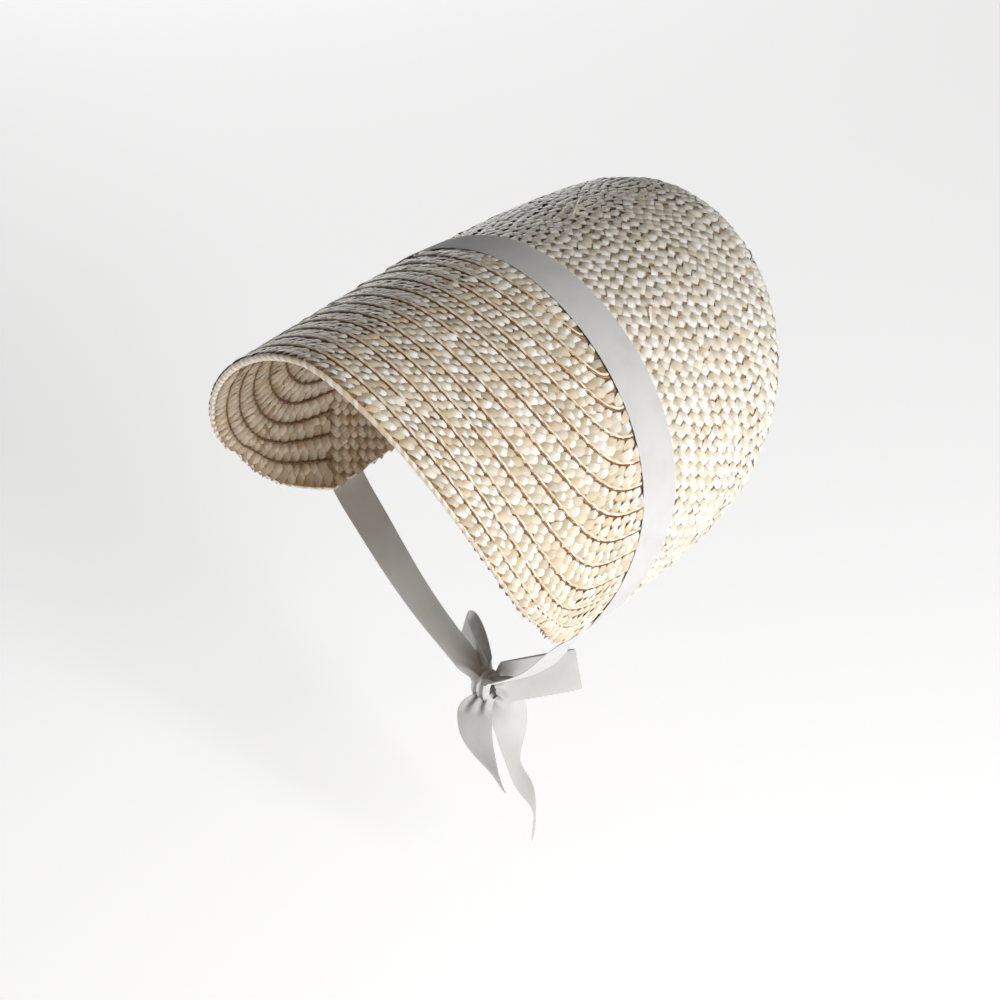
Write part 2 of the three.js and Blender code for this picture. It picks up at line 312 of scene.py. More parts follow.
    def side_length(self, around: Array) -> Array:
        """Length of the crown's side from the junction to where the edge starts to round, in metres."""
        start, edge = self.junction.points(around), self.tip.points(around)
        return np.linalg.norm(edge - start, axis=-1) - self.tip_rounding * MM


@dataclass(frozen=True)
class Skin:
    """A surface laid out in rows: a runs along a row, and b counts rows across, from low to high."""

    point: Callable[[Array, Array], Array]
    rows: int
    low: float = 0.0
    depth: float = 0.0
    inside: bool = False

    def frames(self, a: Array, b: Array) -> tuple[Array, Array, Array, Array]:
        """Place, unit direction along the row, one row's step across it, and unit normal of the seen side.

        The slopes are differences between two near points. The seen side of an inside skin is its inner
        one, depth below the outer one, and its rows run the other way so that normals still point out of
        the straw.

        Args:
            a: places along the rows.
            b: places across the rows.

        Returns:
            Points, directions, steps and normals, in metres.
        """
        step = 0.002
        row_step = 5 * step
        a_low, a_high = np.clip(a - step, -1, 1), np.clip(a + step, -1, 1)
        b_low, b_high = np.maximum(b - row_step, self.low), np.minimum(b + row_step, self.rows)
        along = unit(self.point(a_high, b) - self.point(a_low, b))
        across = (self.point(a, b_high) - self.point(a, b_low)) / (b_high - b_low)[..., None]
        normal = unit(np.cross(along, across))
        place = self.point(a, b) - normal * self.depth
        if self.inside:
            return place, -along, across, -normal
        return place, along, across, normal


# Meshes


def build_piece(name: str, points: Array, faces: list[Array], finish: Material,
                tags: tuple[str, Array] | None = None, sharp: float = 50.0) -> Piece:
    """Makes a mesh object from arrays, and lets it ride on the bonnet's body.

    Args:
        name: the piece's name.
        points: its vertices, in metres.
        faces: arrays of corner numbers, one array for each number of corners.
        finish: its material.
        tags: name and values of a vector attribute on its vertices, for its material.
        sharp: the angle in degrees past which an edge stays sharp.

    Returns:
        The new object.
    """
    mesh = bpy.data.meshes.new(name)
    corners = np.concatenate([part.ravel() for part in faces])
    totals = np.concatenate([np.full(len(part), part.shape[1]) for part in faces])
    mesh.vertices.add(len(points))
    mesh.vertices.foreach_set("co", points.astype(np.float32).ravel())
    mesh.loops.add(len(corners))
    mesh.loops.foreach_set("vertex_index", corners.astype(np.int32))
    mesh.polygons.add(len(totals))
    mesh.polygons.foreach_set("loop_start", (np.cumsum(totals) - totals).astype(np.int32))
    mesh.polygons.foreach_set("use_smooth", np.ones(len(totals), bool))
    mesh.update(calc_edges=True)
    mesh.validate()
    mesh.set_sharp_from_angle(angle=math.radians(sharp))
    if tags is not None:
        attribute = mesh.attributes.new(tags[0], "FLOAT_VECTOR", "POINT")
        attribute.data.foreach_set("vector", tags[1].astype(np.float32).ravel())
    mesh.materials.append(finish)
    piece = bpy.data.objects.new(name, mesh)
    bpy.context.scene.collection.objects.link(piece)
    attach(piece, BODY)
    return piece


def ring_faces(rings: int, around: int) -> Array:
    """Quads of a tube of rings, each of the same number of points, going round.

    Args:
        rings: the number of rings.
        around: the number of points in each ring.

    Returns:
        Corner numbers, four for each quad.
    """
    ring, place = np.meshgrid(np.arange(rings - 1), np.arange(around), indexing="ij")
    after = (place + 1) % around
    corners = [ring * around + place, ring * around + after,
               (ring + 1) * around + after, (ring + 1) * around + place]
    return np.stack(corners, axis=-1).reshape(-1, 4)


# Straw


@dataclass(frozen=True)
class Column:
    """A column of splints in a row: its place across the row, its slant in degrees, its shift in pitches."""

    across: float
    slant: float
    shift: float


@dataclass(frozen=True)
class Splint:
    """The stretch of one split straw that shows between two crossings of a plait, an arched scale."""

    length: float = 7.4 * MM
    width: float = 3.9 * MM
    crest: float = 0.78 * MM
    crest_power: float = 2.6
    camber: float = 0.36 * MM
    tilt: float = 0.08 * MM
    waist: float = 0.14
    waist_power: int = 3
    along_steps: int = 6
    across_steps: int = 3

    def points(self) -> tuple[Array, Array]:
        """The scale's grid and its tags, root at run 0 and end at run 1, where shade and a glint are painted.

        Its height is the crest times 1 minus a power of the way from its middle, less the camber times the
        square of the way aside, plus a slight tilt. Its outline narrows towards both ends.

        Returns:
            Points in metres, and their tags.
        """
        steps = [np.linspace(-1, 1, number + 1) for number in (self.along_steps, self.across_steps)]
        u, v = np.meshgrid(*steps, indexing="ij")
        x = u * self.length / 2
        y = v * self.width / 2 * (1 - self.waist * np.abs(u) ** self.waist_power)
        z = self.crest * (1 - np.abs(u) ** self.crest_power) - self.camber * v**2 + self.tilt * u
        tags = np.stack([(u + 1) / 2, v, np.zeros_like(u)], axis=-1)
        return np.stack([x, y, z], axis=-1).reshape(-1, 3), tags.reshape(-1, 3)

    def faces(self) -> list[Array]:
        """Quads of the top, and a flat underside of wide quads with a many-sided face at each end.

        Returns:
            Corner numbers of the quads, and those of the many-sided faces.
        """
        wide = self.across_steps + 1
        grid = np.arange((self.along_steps + 1) * wide).reshape(-1, wide)
        top = np.stack([grid[:-1, :-1], grid[1:, :-1], grid[1:, 1:], grid[:-1, 1:]], axis=-1).reshape(-1, 4)
        under = np.stack([grid[1:-2, 0], grid[1:-2, -1], grid[2:-1, -1], grid[2:-1, 0]], axis=-1)
        root = np.concatenate([grid[0], grid[1, [-1, 0]]])[None]
        end = np.concatenate([grid[-2, [0, -1]], grid[-1, ::-1]])[None]
        return [np.concatenate([top, under]), np.concatenate([root, end])]


@dataclass(frozen=True)
class Unevenness:
    """How far hand-plaited splints stray in place, angle, tilt, height and size, and the most they may."""

    shift: float = 0.25 * MM
    turn: float = 5.0
    roll: float = 7.0
    height: float = 0.12 * MM
    size: float = 0.07
    most: float = 2.0


@dataclass
class Plait:
    """Rows of splints over one skin, sewn beside or over each other.

    slope is how much higher a row's front stands than its back, margin the bare end of each row, and
    stagger how many pitches every second row is shifted.
    """

    skin: Skin
    columns: tuple[Column, ...]
    splint: Splint = Splint()
    pitch: float = 5.6 * MM
    row_width: float = 9.7 * MM
    lift: float = 0.3 * MM
    margin: float = 2.0 * MM
    slope: float = 0.0
    first_row: int = 0
    seed: int = 1
    uneven: Unevenness = Unevenness()
    closing: tuple[Column, ...] = ()
    keep: Callable[[Array, Array], Array] | None = None
    stagger: float = 0.5
    line_points: int = 700
    stretch_limits: tuple[float, float] = (0.5, 1.35)

    def seats(self) -> list[Array]:
        """Place, direction, row step, normal, slant and height of every splint, row after row.

        Along each row's line, less a margin at both ends, the splints stand at equal distances, at the
        column's shift. The last row has the closing columns too.

        Returns:
            An array of each, in that order.
        """
        found = []
        places = np.linspace(-1, 1, self.line_points)
        for row in range(self.first_row, self.skin.rows):
            last = row == self.skin.rows - 1
            for column in self.columns + (self.closing if last else ()):
                line = row + column.across
                run = distances(self.skin.point(places, np.full(self.line_points, line)))
                span = run[-1] - 2 * self.margin
                number = max(2, round(span / self.pitch))
                wanted = (np.arange(number + 1) + (self.stagger * (row % 2) + column.shift) % 1) / number
                a = np.interp(self.margin + wanted[wanted <= 1] * span, run, places)
                b = np.full(len(a), line)
                if self.keep is not None:
                    kept = self.keep(a, b)
                    a, b = a[kept], b[kept]
                height = np.full(len(a), self.lift + self.slope * (1 - column.across))
                slant = np.full(len(a), math.radians(column.slant))
                found.append([*self.skin.frames(a, b), slant, height])
        return [np.concatenate(parts) for parts in zip(*found)]

    def build(self, name: str, finish: Material, slot: Slot) -> Piece:
        """Lays every splint on its seat, as one piece.

        A splint's local x turns from the row's direction by its slant, its y is square to that in the skin
        and its z is the normal, each turned a little by the plait's unevenness. Six strays are drawn for
        each splint, for its roll, turn, size, height and shift, and one to spare.

        Args:
            name: the piece's name.
            finish: its material.
            slot: not used.

        Returns:
            The new object.
        """
        place, along, step, normal, slant, height = self.seats()
        rng = np.random.default_rng(self.seed)
        count, uneven = len(place), self.uneven
        stray = rng.normal(size=(6, count)).clip(-uneven.most, uneven.most)[..., None]
        across = unit(step - along * (step * along).sum(-1, keepdims=True))
        stretch = np.linalg.norm(step, axis=-1, keepdims=True) / self.row_width
        slope = np.arctan2(self.slope, self.row_width)
        across, normal = (across * np.cos(slope) - normal * np.sin(slope),
                          normal * np.cos(slope) + across * np.sin(slope))
        roll = np.radians(uneven.roll) * stray[0]
        slant = slant[:, None] + np.radians(uneven.turn) * stray[1]
        size = 1 + uneven.size * stray[2]
        local, tags = self.splint.points()
        x, y = local[:, 0] * size, local[:, 1] * size
        z = local[:, 2] + y * np.tan(roll) + (height[:, None] + uneven.height * stray[3])
        turned_x = x * np.cos(slant) - y * np.sin(slant) + uneven.shift * stray[4]
        turned_y = (x * np.sin(slant) + y * np.cos(slant)) * stretch.clip(*self.stretch_limits)
        points = (
            place[:, None]
            + turned_x[..., None] * along[:, None]
            + turned_y[..., None] * across[:, None]
            + z[..., None] * normal[:, None]
        )
        labels = np.broadcast_to(tags, (count, *tags.shape)).copy()
        labels[..., 2] = rng.uniform(size=count)[:, None]
        offsets = (np.arange(count) * len(local))[:, None, None]
        faces = [(part[None] + offsets).reshape(-1, part.shape[1]) for part in self.splint.faces()]
        tagged = ("splint", labels.reshape(-1, 3))
        return build_piece(name, points.reshape(-1, 3), faces, finish, tagged)


@dataclass(frozen=True)
class FoldedEdge:
    """A plait's edge, where its straws turn over: a thin cord with slanting ridges."""

    half_width: float = 0.8 * MM
    half_height: float = 0.7 * MM
    ridge: float = 0.22
    ridge_pitch: float = 2.8 * MM
    step: float = 0.9 * MM
    around: int = 8

    def tube(self, line: Line, seed: int) -> tuple[Array, Array, Array]:
        """Rings of an ellipse whose size swells where phase, angle less distance over pitch, is zero.

        Args:
            line: points along the edge, unit directions square to it in the skin, and unit normals.
            seed: sets the straws' own tones.

        Returns:
            Points, quads without the two end caps, and tags.
        """
        middle, sideways, outwards = line
        run = distances(middle)
        angle = np.linspace(0, 2 * np.pi, self.around, endpoint=False)[None]
        phase = angle - 2 * np.pi * run[:, None] / self.ridge_pitch
        swell = 1 + self.ridge * np.cos(phase)
        points = (
            middle[:, None]
            + sideways[:, None] * (self.half_width * swell * np.cos(angle))[..., None]
            + outwards[:, None] * (self.half_height * swell * np.sin(angle))[..., None]
        )
        turn = np.floor(phase / (2 * np.pi) + 0.5)
        spare = 8
        tones = np.random.default_rng(seed).uniform(size=int(run[-1] / self.ridge_pitch) + spare)
        tone = tones[(-turn).astype(int) % len(tones)]
        # The first tag is 1 on each ridge and 0 between: the straw's pattern paints shade in the hollows and
        # a glint near the crests
        tags = np.stack([0.5 + 0.5 * np.cos(phase), np.zeros_like(phase), tone], axis=-1)
        return points.reshape(-1, 3), ring_faces(len(middle), self.around), tags.reshape(-1, 3)

    def build(self, name: str, edges: list[Line], finish: Material, slot: Slot, seed: int = 5) -> Piece:
        """Joins one tube for each edge, with flat ends, as one piece.

        Args:
            name: the piece's name.
            edges: points, sideways directions and normals of each edge.
            finish: its material.
            slot: not used.
            seed: sets the straws' own tones.

        Returns:
            The new object.
        """
        points, quads, caps, tags, start = [], [], [], [], 0
        ring = np.arange(self.around)
        for number, line in enumerate(edges):
            rings, faces, labels = self.tube(line, seed + number)
            points.append(rings)
            tags.append(labels)
            quads.append(faces + start)
            last = start + len(rings) - self.around
            caps.extend([start + ring[::-1], last + ring])
            start += len(rings)
        faces = [np.concatenate(quads), np.array(caps)]
        tagged = ("splint", np.concatenate(tags))
        return build_piece(name, np.concatenate(points), faces, finish, tagged, sharp=80)


# Node groups and finishes


@dataclass
class Nodes:
    """Adds nodes to one tree, with their values and links given together."""

    tree: bpy.types.NodeTree

    def feed(self, node: bpy.types.Node, inputs: dict) -> None:
        """Links a socket to each named or numbered input of a node, or sets the input's value.

        Args:
            node: the node.
            inputs: a socket or a value for each input's name or number.
        """
        for key, value in inputs.items():
            if isinstance(value, Socket):
                self.tree.links.new(value, node.inputs[key])
            else:
                node.inputs[key].default_value = value

    def add(self, kind: str, inputs: dict | None = None, **settings: object) -> bpy.types.Node:
        """Adds a node.

        Args:
            kind: the node's type.
            inputs: for each input's name or number, a socket to link or a value to set.
            **settings: the node's own settings.

        Returns:
            The new node.
        """
        node = self.tree.nodes.new(kind)
        for name, value in settings.items():
            setattr(node, name, value)
        self.feed(node, inputs or {})
        return node

    def math(self, operation: str, *values: object) -> Socket:
        """Result of a Math node on sockets and numbers."""
        return self.add("ShaderNodeMath", dict(enumerate(values)), operation=operation).outputs[0]

    def times(self, first: object, second: object) -> Socket:
        """Product of two values."""
        return self.math("MULTIPLY", first, second)

    def range(self, value: object, low: float, high: float, to_low: float, to_high: float) -> Socket:
        """A value carried from one range to another, held at its ends, with a smooth start and stop."""
        inputs = {"Value": value, "From Min": low, "From Max": high, "To Min": to_low, "To Max": to_high}
        return self.add("ShaderNodeMapRange", inputs, interpolation_type="SMOOTHSTEP").outputs["Result"]

    def blend(self, share: object, first: object, second: object) -> Socket:
        """Mix of two colours.

        Args:
            share: share of the second colour.
            first: the first colour.
            second: the second colour.

        Returns:
            The mixed colour's socket.
        """
        share_input, first_input, second_input, colour_output = 0, 6, 7, 2
        inputs = {share_input: share, first_input: first, second_input: second}
        return self.add("ShaderNodeMix", inputs, data_type="RGBA").outputs[colour_output]

    def noise(self, vector: object, scale: float, detail: float = 2.0) -> Socket:
        """Noise between 0 and 1."""
        inputs = {"Vector": vector, "Scale": scale, "Detail": detail}
        return self.add("ShaderNodeTexNoise", inputs).outputs["Fac"]

    def bump(self, height: Socket, depth: float, strength: float) -> Socket:
        """Normal of a surface that is raised by a height from 0 to 1 times a depth."""
        inputs = {"Height": height, "Distance": depth, "Strength": strength}
        return self.add("ShaderNodeBump", inputs).outputs["Normal"]


def rgb(red: float, green: float, blue: float) -> tuple[float, float, float, float]:
    """A colour given as on a screen, from 0 to 255, in linear values by the screen's standard curve.

    Args:
        red: its red, from 0 to 255.
        green: its green.
        blue: its blue.

    Returns:
        Linear red, green and blue, and an alpha of 1.
    """
    shares = np.array([red, green, blue]) / 255
    linear = np.where(shares <= 0.04045, shares / 12.92, ((shares + 0.055) / 1.055) ** 2.4)
    return (*[float(x) for x in linear], 1.0)


def new_group(name: str, inputs: dict[str, str], outputs: dict[str, str]) -> tuple[Nodes, dict]:
    """Starts a shader node group.

    Args:
        name: the group's name.
        inputs: the kind of each named input.
        outputs: the kind of each named output.

    Returns:
        Its nodes, and its input sockets by name.
    """
    tree = bpy.data.node_groups.new(name, "ShaderNodeTree")
    for way, sockets in (("INPUT", inputs), ("OUTPUT", outputs)):
        for label, kind in sockets.items():
            tree.interface.new_socket(label, in_out=way, socket_type=f"NodeSocket{kind}")
    nodes = Nodes(tree)
    given = nodes.add("NodeGroupInput")
    return nodes, {label: given.outputs[label] for label in inputs}


def new_material(name: str) -> tuple[Material, Nodes, bpy.types.Node]:
    """A new material, with its nodes and its shader.

    Args:
        name: the material's name.

    Returns:
        The material, its nodes and its shader.
    """
    material = bpy.data.materials.new(name)
    material.use_nodes = True
    return material, Nodes(material.node_tree), material.node_tree.nodes["Principled BSDF"]


@dataclass(frozen=True)
class SplitStraw:
    """Pattern of split straw: long fibres, own tone, painted shade at root and sides, painted glint at its
    end.

    A range holds from low, from high, to low and to high, in shares of the way along a splint or from its
    middle to its side, or of a noise. fibres holds how fast the fibres' noise changes along a splint, aside
    and from straw to straw. patches is a noise's scale a metre. chances make two more random shares from a
    straw's tone, for a cool cast and for the painted glint, and the weights mix tone, fibre and patch into
    paleness. The painted shade darkens a splint where it runs under its neighbours, more in some patches.
    """

    fibres: tuple[float, float, float] = (1.2, 8.0, 60.0)
    fibre_scale: float = 1.6
    patches: float = 46.0
    chances: tuple[float, float] = (17.0, 41.0)
    weights: tuple[float, float, float] = (0.55, 0.55, 0.5)
    pale_range: tuple[float, ...] = (0.2, 0.85, 0.0, 1.0)
    cool_range: tuple[float, ...] = (0.5, 1.0, 0.0, 0.65)
    root_shade_range: tuple[float, ...] = (0.05, 0.55, 0.7, 0.0)
    side_shade_range: tuple[float, ...] = (0.65, 1.0, 0.0, 0.45)
    patch_range: tuple[float, ...] = (0.3, 0.7, 0.3, 1.0)
    end_range: tuple[float, ...] = (0.48, 0.66, 0.0, 1.0)
    glint_chance_range: tuple[float, ...] = (0.2, 0.7, 0.05, 0.85)
    middle_range: tuple[float, ...] = (0.5, 0.95, 1.0, 0.1)
    rough_range: tuple[float, ...] = (0.3, 0.7, 0.26, 0.5)

    def build(self) -> bpy.types.NodeTree:
        """Group that reads a splint's tags: the way along it, the way aside from -1 to 1, and its tone.

        Returns:
            The new node group.
        """
        colours = {name: "Color" for name in ("Pale", "Deep", "Cool", "Painted_shade", "Gleam")}
        nodes, given = new_group("split_straw", {"Splint": "Vector", "Place": "Vector", **colours},
                                 {"Color": "Color", "Roughness": "Float", "Height": "Float"})
        tags = nodes.add("ShaderNodeSeparateXYZ", {0: given["Splint"]}).outputs
        run, aside, tone = tags
        from_middle = nodes.math("ABSOLUTE", aside)
        drawn_out = {key: nodes.times(tag, scale) for key, (tag, scale) in enumerate(zip(tags, self.fibres))}
        fibre = nodes.noise(nodes.add("ShaderNodeCombineXYZ", drawn_out).outputs[0], self.fibre_scale, 3.0)
        patch = nodes.noise(given["Place"], self.patches, 2.0)
        cast, glint_chance = (nodes.math("FRACT", nodes.times(tone, chance)) for chance in self.chances)
        by_tone, by_fibre, by_patch = self.weights
        paleness = nodes.math("ADD", nodes.times(tone, by_tone), nodes.times(fibre, by_fibre))
        patchy = nodes.times(nodes.math("SUBTRACT", patch, 0.5), by_patch)
        paleness = nodes.math("ADD", paleness, patchy)
        straw = nodes.blend(nodes.range(paleness, *self.pale_range), given["Deep"], given["Pale"])
        straw = nodes.blend(nodes.range(cast, *self.cool_range), straw, given["Cool"])
        # Painted shade: darker at each splint's root and sides, where it runs under its neighbours, varied in
        # patches
        root, side = nodes.range(run, *self.root_shade_range), nodes.range(from_middle, *self.side_shade_range)
        shade_share = nodes.times(nodes.math("MAXIMUM", root, side), nodes.range(patch, *self.patch_range))
        straw = nodes.blend(shade_share, straw, given["Painted_shade"])
        # Painted glint: a near-white colour towards the end of some splints, strongest in their middle
        gleam = nodes.times(nodes.range(run, *self.end_range), nodes.range(glint_chance, *self.glint_chance_range))
        gleam = nodes.times(gleam, nodes.range(from_middle, *self.middle_range))
        nodes.add("NodeGroupOutput", {"Color": nodes.blend(gleam, straw, given["Gleam"]), "Height": fibre,
                                      "Roughness": nodes.range(fibre, *self.rough_range)})
        return nodes.tree


@dataclass(frozen=True)
class TapeWeave:
    """Pattern of woven tape: a product of two sines for its threads, and soft worn clouds.

    clouds is a noise's scale a metre, worn_range holds from low, from high, to low and to high, and
    worn_threads is how much more the threads' tops are worn.
    """

    clouds: float = 60.0
    worn_range: tuple[float, ...] = (0.35, 0.75, 0.0, 0.55)
    worn_threads: float = 0.08

    def build(self) -> bpy.types.NodeTree:
        """Group that reads the place along and across the tape in millimetres.

        Returns:
            The new node group.
        """
        nodes, given = new_group("tape_weave", {"Tape": "Vector", "Place": "Vector", "Light": "Color",
                                                "Worn": "Color", "Thread": "Float"},
                                 {"Color": "Color", "Height": "Float"})
        parts = nodes.add("ShaderNodeSeparateXYZ", {0: given["Tape"]}).outputs[:2]
        turns = [nodes.times(nodes.math("DIVIDE", part, given["Thread"]), 2 * math.pi) for part in parts]
        weave = nodes.times(*[nodes.math("SINE", turn) for turn in turns])
        cloud = nodes.range(nodes.noise(given["Place"], self.clouds, 3.0), *self.worn_range)
        worn = nodes.math("ADD", cloud, nodes.times(weave, self.worn_threads))
        height = nodes.math("ADD", nodes.times(weave, 0.5), 0.5)
        colour = nodes.blend(worn, given["Light"], given["Worn"])
        nodes.add("NodeGroupOutput", {"Color": colour, "Height": height})
        return nodes.tree


@dataclass(frozen=True)
class StrawFinish:
    """Glossy split straw: screen colours from pale to deep, for painted shade and a painted glint, its coat
    and fibres' depth.
    """

    name: str
    pale: tuple[int, int, int]
    deep: tuple[int, int, int]
    cool: tuple[int, int, int]
    painted_shade: tuple[int, int, int]
    gleam: tuple[int, int, int]
    coat: float = 0.12
    coat_roughness: float = 0.18
    specular: float = 0.4
    fibre_depth: float = 0.06 * MM
    fibre_strength: float = 0.6

    def build(self, group: bpy.types.NodeTree) -> Material:
        """Material that reads the splints' own tags and the object's coordinates.

        Args:
            group: the pattern of split straw.

        Returns:
            The new material.
        """
        material, nodes, shader = new_material(self.name)
        tags = nodes.add("ShaderNodeAttribute", attribute_name="splint").outputs["Vector"]
        place = nodes.add("ShaderNodeTexCoord").outputs["Object"]
        colours = {"Pale": self.pale, "Deep": self.deep, "Cool": self.cool, "Painted_shade": self.painted_shade,
                   "Gleam": self.gleam}
        inputs = {"Splint": tags, "Place": place, **{key: rgb(*value) for key, value in colours.items()}}
        straw = nodes.add("ShaderNodeGroup", inputs, node_tree=group).outputs
        nodes.feed(shader, {
            "Base Color": straw["Color"],
            "Roughness": straw["Roughness"],
            "Normal": nodes.bump(straw["Height"], self.fibre_depth, self.fibre_strength),
            "Coat Weight": self.coat,
            "Coat Roughness": self.coat_roughness,
            "Specular IOR Level": self.specular,
        })
        return material


@dataclass(frozen=True)
class CoreFinish:
    """Shaded straw under the splints and in the seams, in screen colours. grain is a scale a metre."""

    name: str
    light: tuple[int, int, int]
    dark: tuple[int, int, int]
    grain: float = 900.0
    grain_range: tuple[float, ...] = (0.3, 0.75, 0.0, 1.0)
    grain_depth: float = 0.2 * MM
    grain_strength: float = 0.5
    roughness: tuple[float, float] = (0.75, 0.5)

    def build(self) -> Material:
        """Material of one noise on the object's coordinates.

        Returns:
            The new material.
        """
        material, nodes, shader = new_material(self.name)
        place = nodes.add("ShaderNodeTexCoord").outputs["Object"]
        share = nodes.range(nodes.noise(place, self.grain, 3.0), *self.grain_range)
        nodes.feed(shader, {
            "Base Color": nodes.blend(share, rgb(*self.dark), rgb(*self.light)),
            "Roughness": nodes.range(share, 0.0, 1.0, *self.roughness),
            "Normal": nodes.bump(share, self.grain_depth, self.grain_strength),
        })
        return material


@dataclass(frozen=True)
class TapeFinish:
    """Matt woven cotton tape, in screen colours. thread is the pitch of two threads in millimetres."""

    name: str
    light: tuple[int, int, int]
    worn: tuple[int, int, int]
    thread: float = 0.45
    weave_depth: float = 0.05 * MM
    weave_strength: float = 0.5
    sheen: float = 0.25
    roughness: float = 0.8

    def build(self, group: bpy.types.NodeTree) -> Material:
        """Material that reads the tape's own attribute, in millimetres along and across it.

        Args:
            group: the pattern of woven tape.

        Returns:
            The new material.
        """
        material, nodes, shader = new_material(self.name)
        tags = nodes.add("ShaderNodeAttribute", attribute_name="tape").outputs["Vector"]
        place = nodes.add("ShaderNodeTexCoord").outputs["Object"]
        inputs = {"Tape": tags, "Place": place, "Light": rgb(*self.light), "Worn": rgb(*self.worn),
                  "Thread": self.thread}
        weave = nodes.add("ShaderNodeGroup", inputs, node_tree=group).outputs
        nodes.feed(shader, {
            "Base Color": weave["Color"],
            "Normal": nodes.bump(weave["Height"], self.weave_depth, self.weave_strength),
            "Roughness": self.roughness,
            "Sheen Weight": self.sheen,
        })
        return material


# Tape


@dataclass(frozen=True)
class Tape:
    """Flat tape: its width and thickness, and the pleats that it gathers into where it is pinched."""

    width: float = 22.0 * MM
    thickness: float = 0.7 * MM
    pinched: float = 11.0 * MM
    pinch: float = 14.0 * MM
    pleats: float = 2.5
    edge_thinning: float = 0.6
    edge_power: int = 12
    across_steps: int = 18

    def pinched_to(self, distance: Array) -> Array:
        """Width at a distance from the knot: pinched there, and open past the pinch's length."""
        return self.pinched + (self.width - self.pinched) * smoothstep(distance, 0, self.pinch)

    def build(self, name: str, line: Line, finish: Material, cup: float = 0.0) -> Piece:
        """Carries the tape's profile along a route, as one closed piece.

        The profile is a sine of pleats whose height keeps the tape's real width: with w the pinched width
        and n the pleats, it is w over n pi times the root of width over w less one. A cup bends the whole
        profile by a square of the way aside, and a power of that way thins the edges.

        Args:
            name: the piece's name.
            line: points of the route, directions across the tape there, and its visible widths.
            finish: the material.
            cup: height of the edges over the middle.

        Returns:
            The new object.
        """
        middle, across, widths = line
        onward = unit(np.gradient(middle, axis=0))
        across = unit(across - onward * (across * onward).sum(-1, keepdims=True))
        face = np.cross(across, onward)
        share = np.linspace(-0.5, 0.5, self.across_steps + 1)
        height = widths / (np.pi * self.pleats) * np.sqrt(np.maximum(0, self.width / widths - 1))
        wave = height[:, None] * np.sin(2 * np.pi * self.pleats * share)[None]
        wave = wave + cup * (4 * share[None] ** 2 - 0.5)
        flat = middle[:, None] + across[:, None] * (widths[:, None] * share[None])[..., None]
        half = self.thickness / 2 * (1 - self.edge_thinning * np.abs(2 * share) ** self.edge_power)
        top, under = (flat + face[:, None] * (wave + side * half)[..., None] for side in (1, -1))
        points = np.concatenate([top, under[:, ::-1]], axis=1)
        rings, around = points.shape[:2]
        low = np.arange(self.across_steps)
        first = np.stack([low, low + 1, around - 2 - low, around - 1 - low], axis=-1)
        last = first[:, ::-1] + (rings - 1) * around
        faces = [np.concatenate([ring_faces(rings, around)[:, ::-1], first, last])]
        run, place = distances(middle) / MM, np.concatenate([share, share[::-1]]) * self.width / MM
        run, place = np.broadcast_arrays(run[:, None], place[None])
        tags = np.stack([run, place, np.zeros_like(run)], axis=-1).reshape(-1, 3)
        return build_piece(name, points.reshape(-1, 3), faces, finish, ("tape", tags), sharp=70)


def route_length(route: Array) -> float:
    """Length of a route."""
    return float(distances(route)[-1])


# Brim and crown


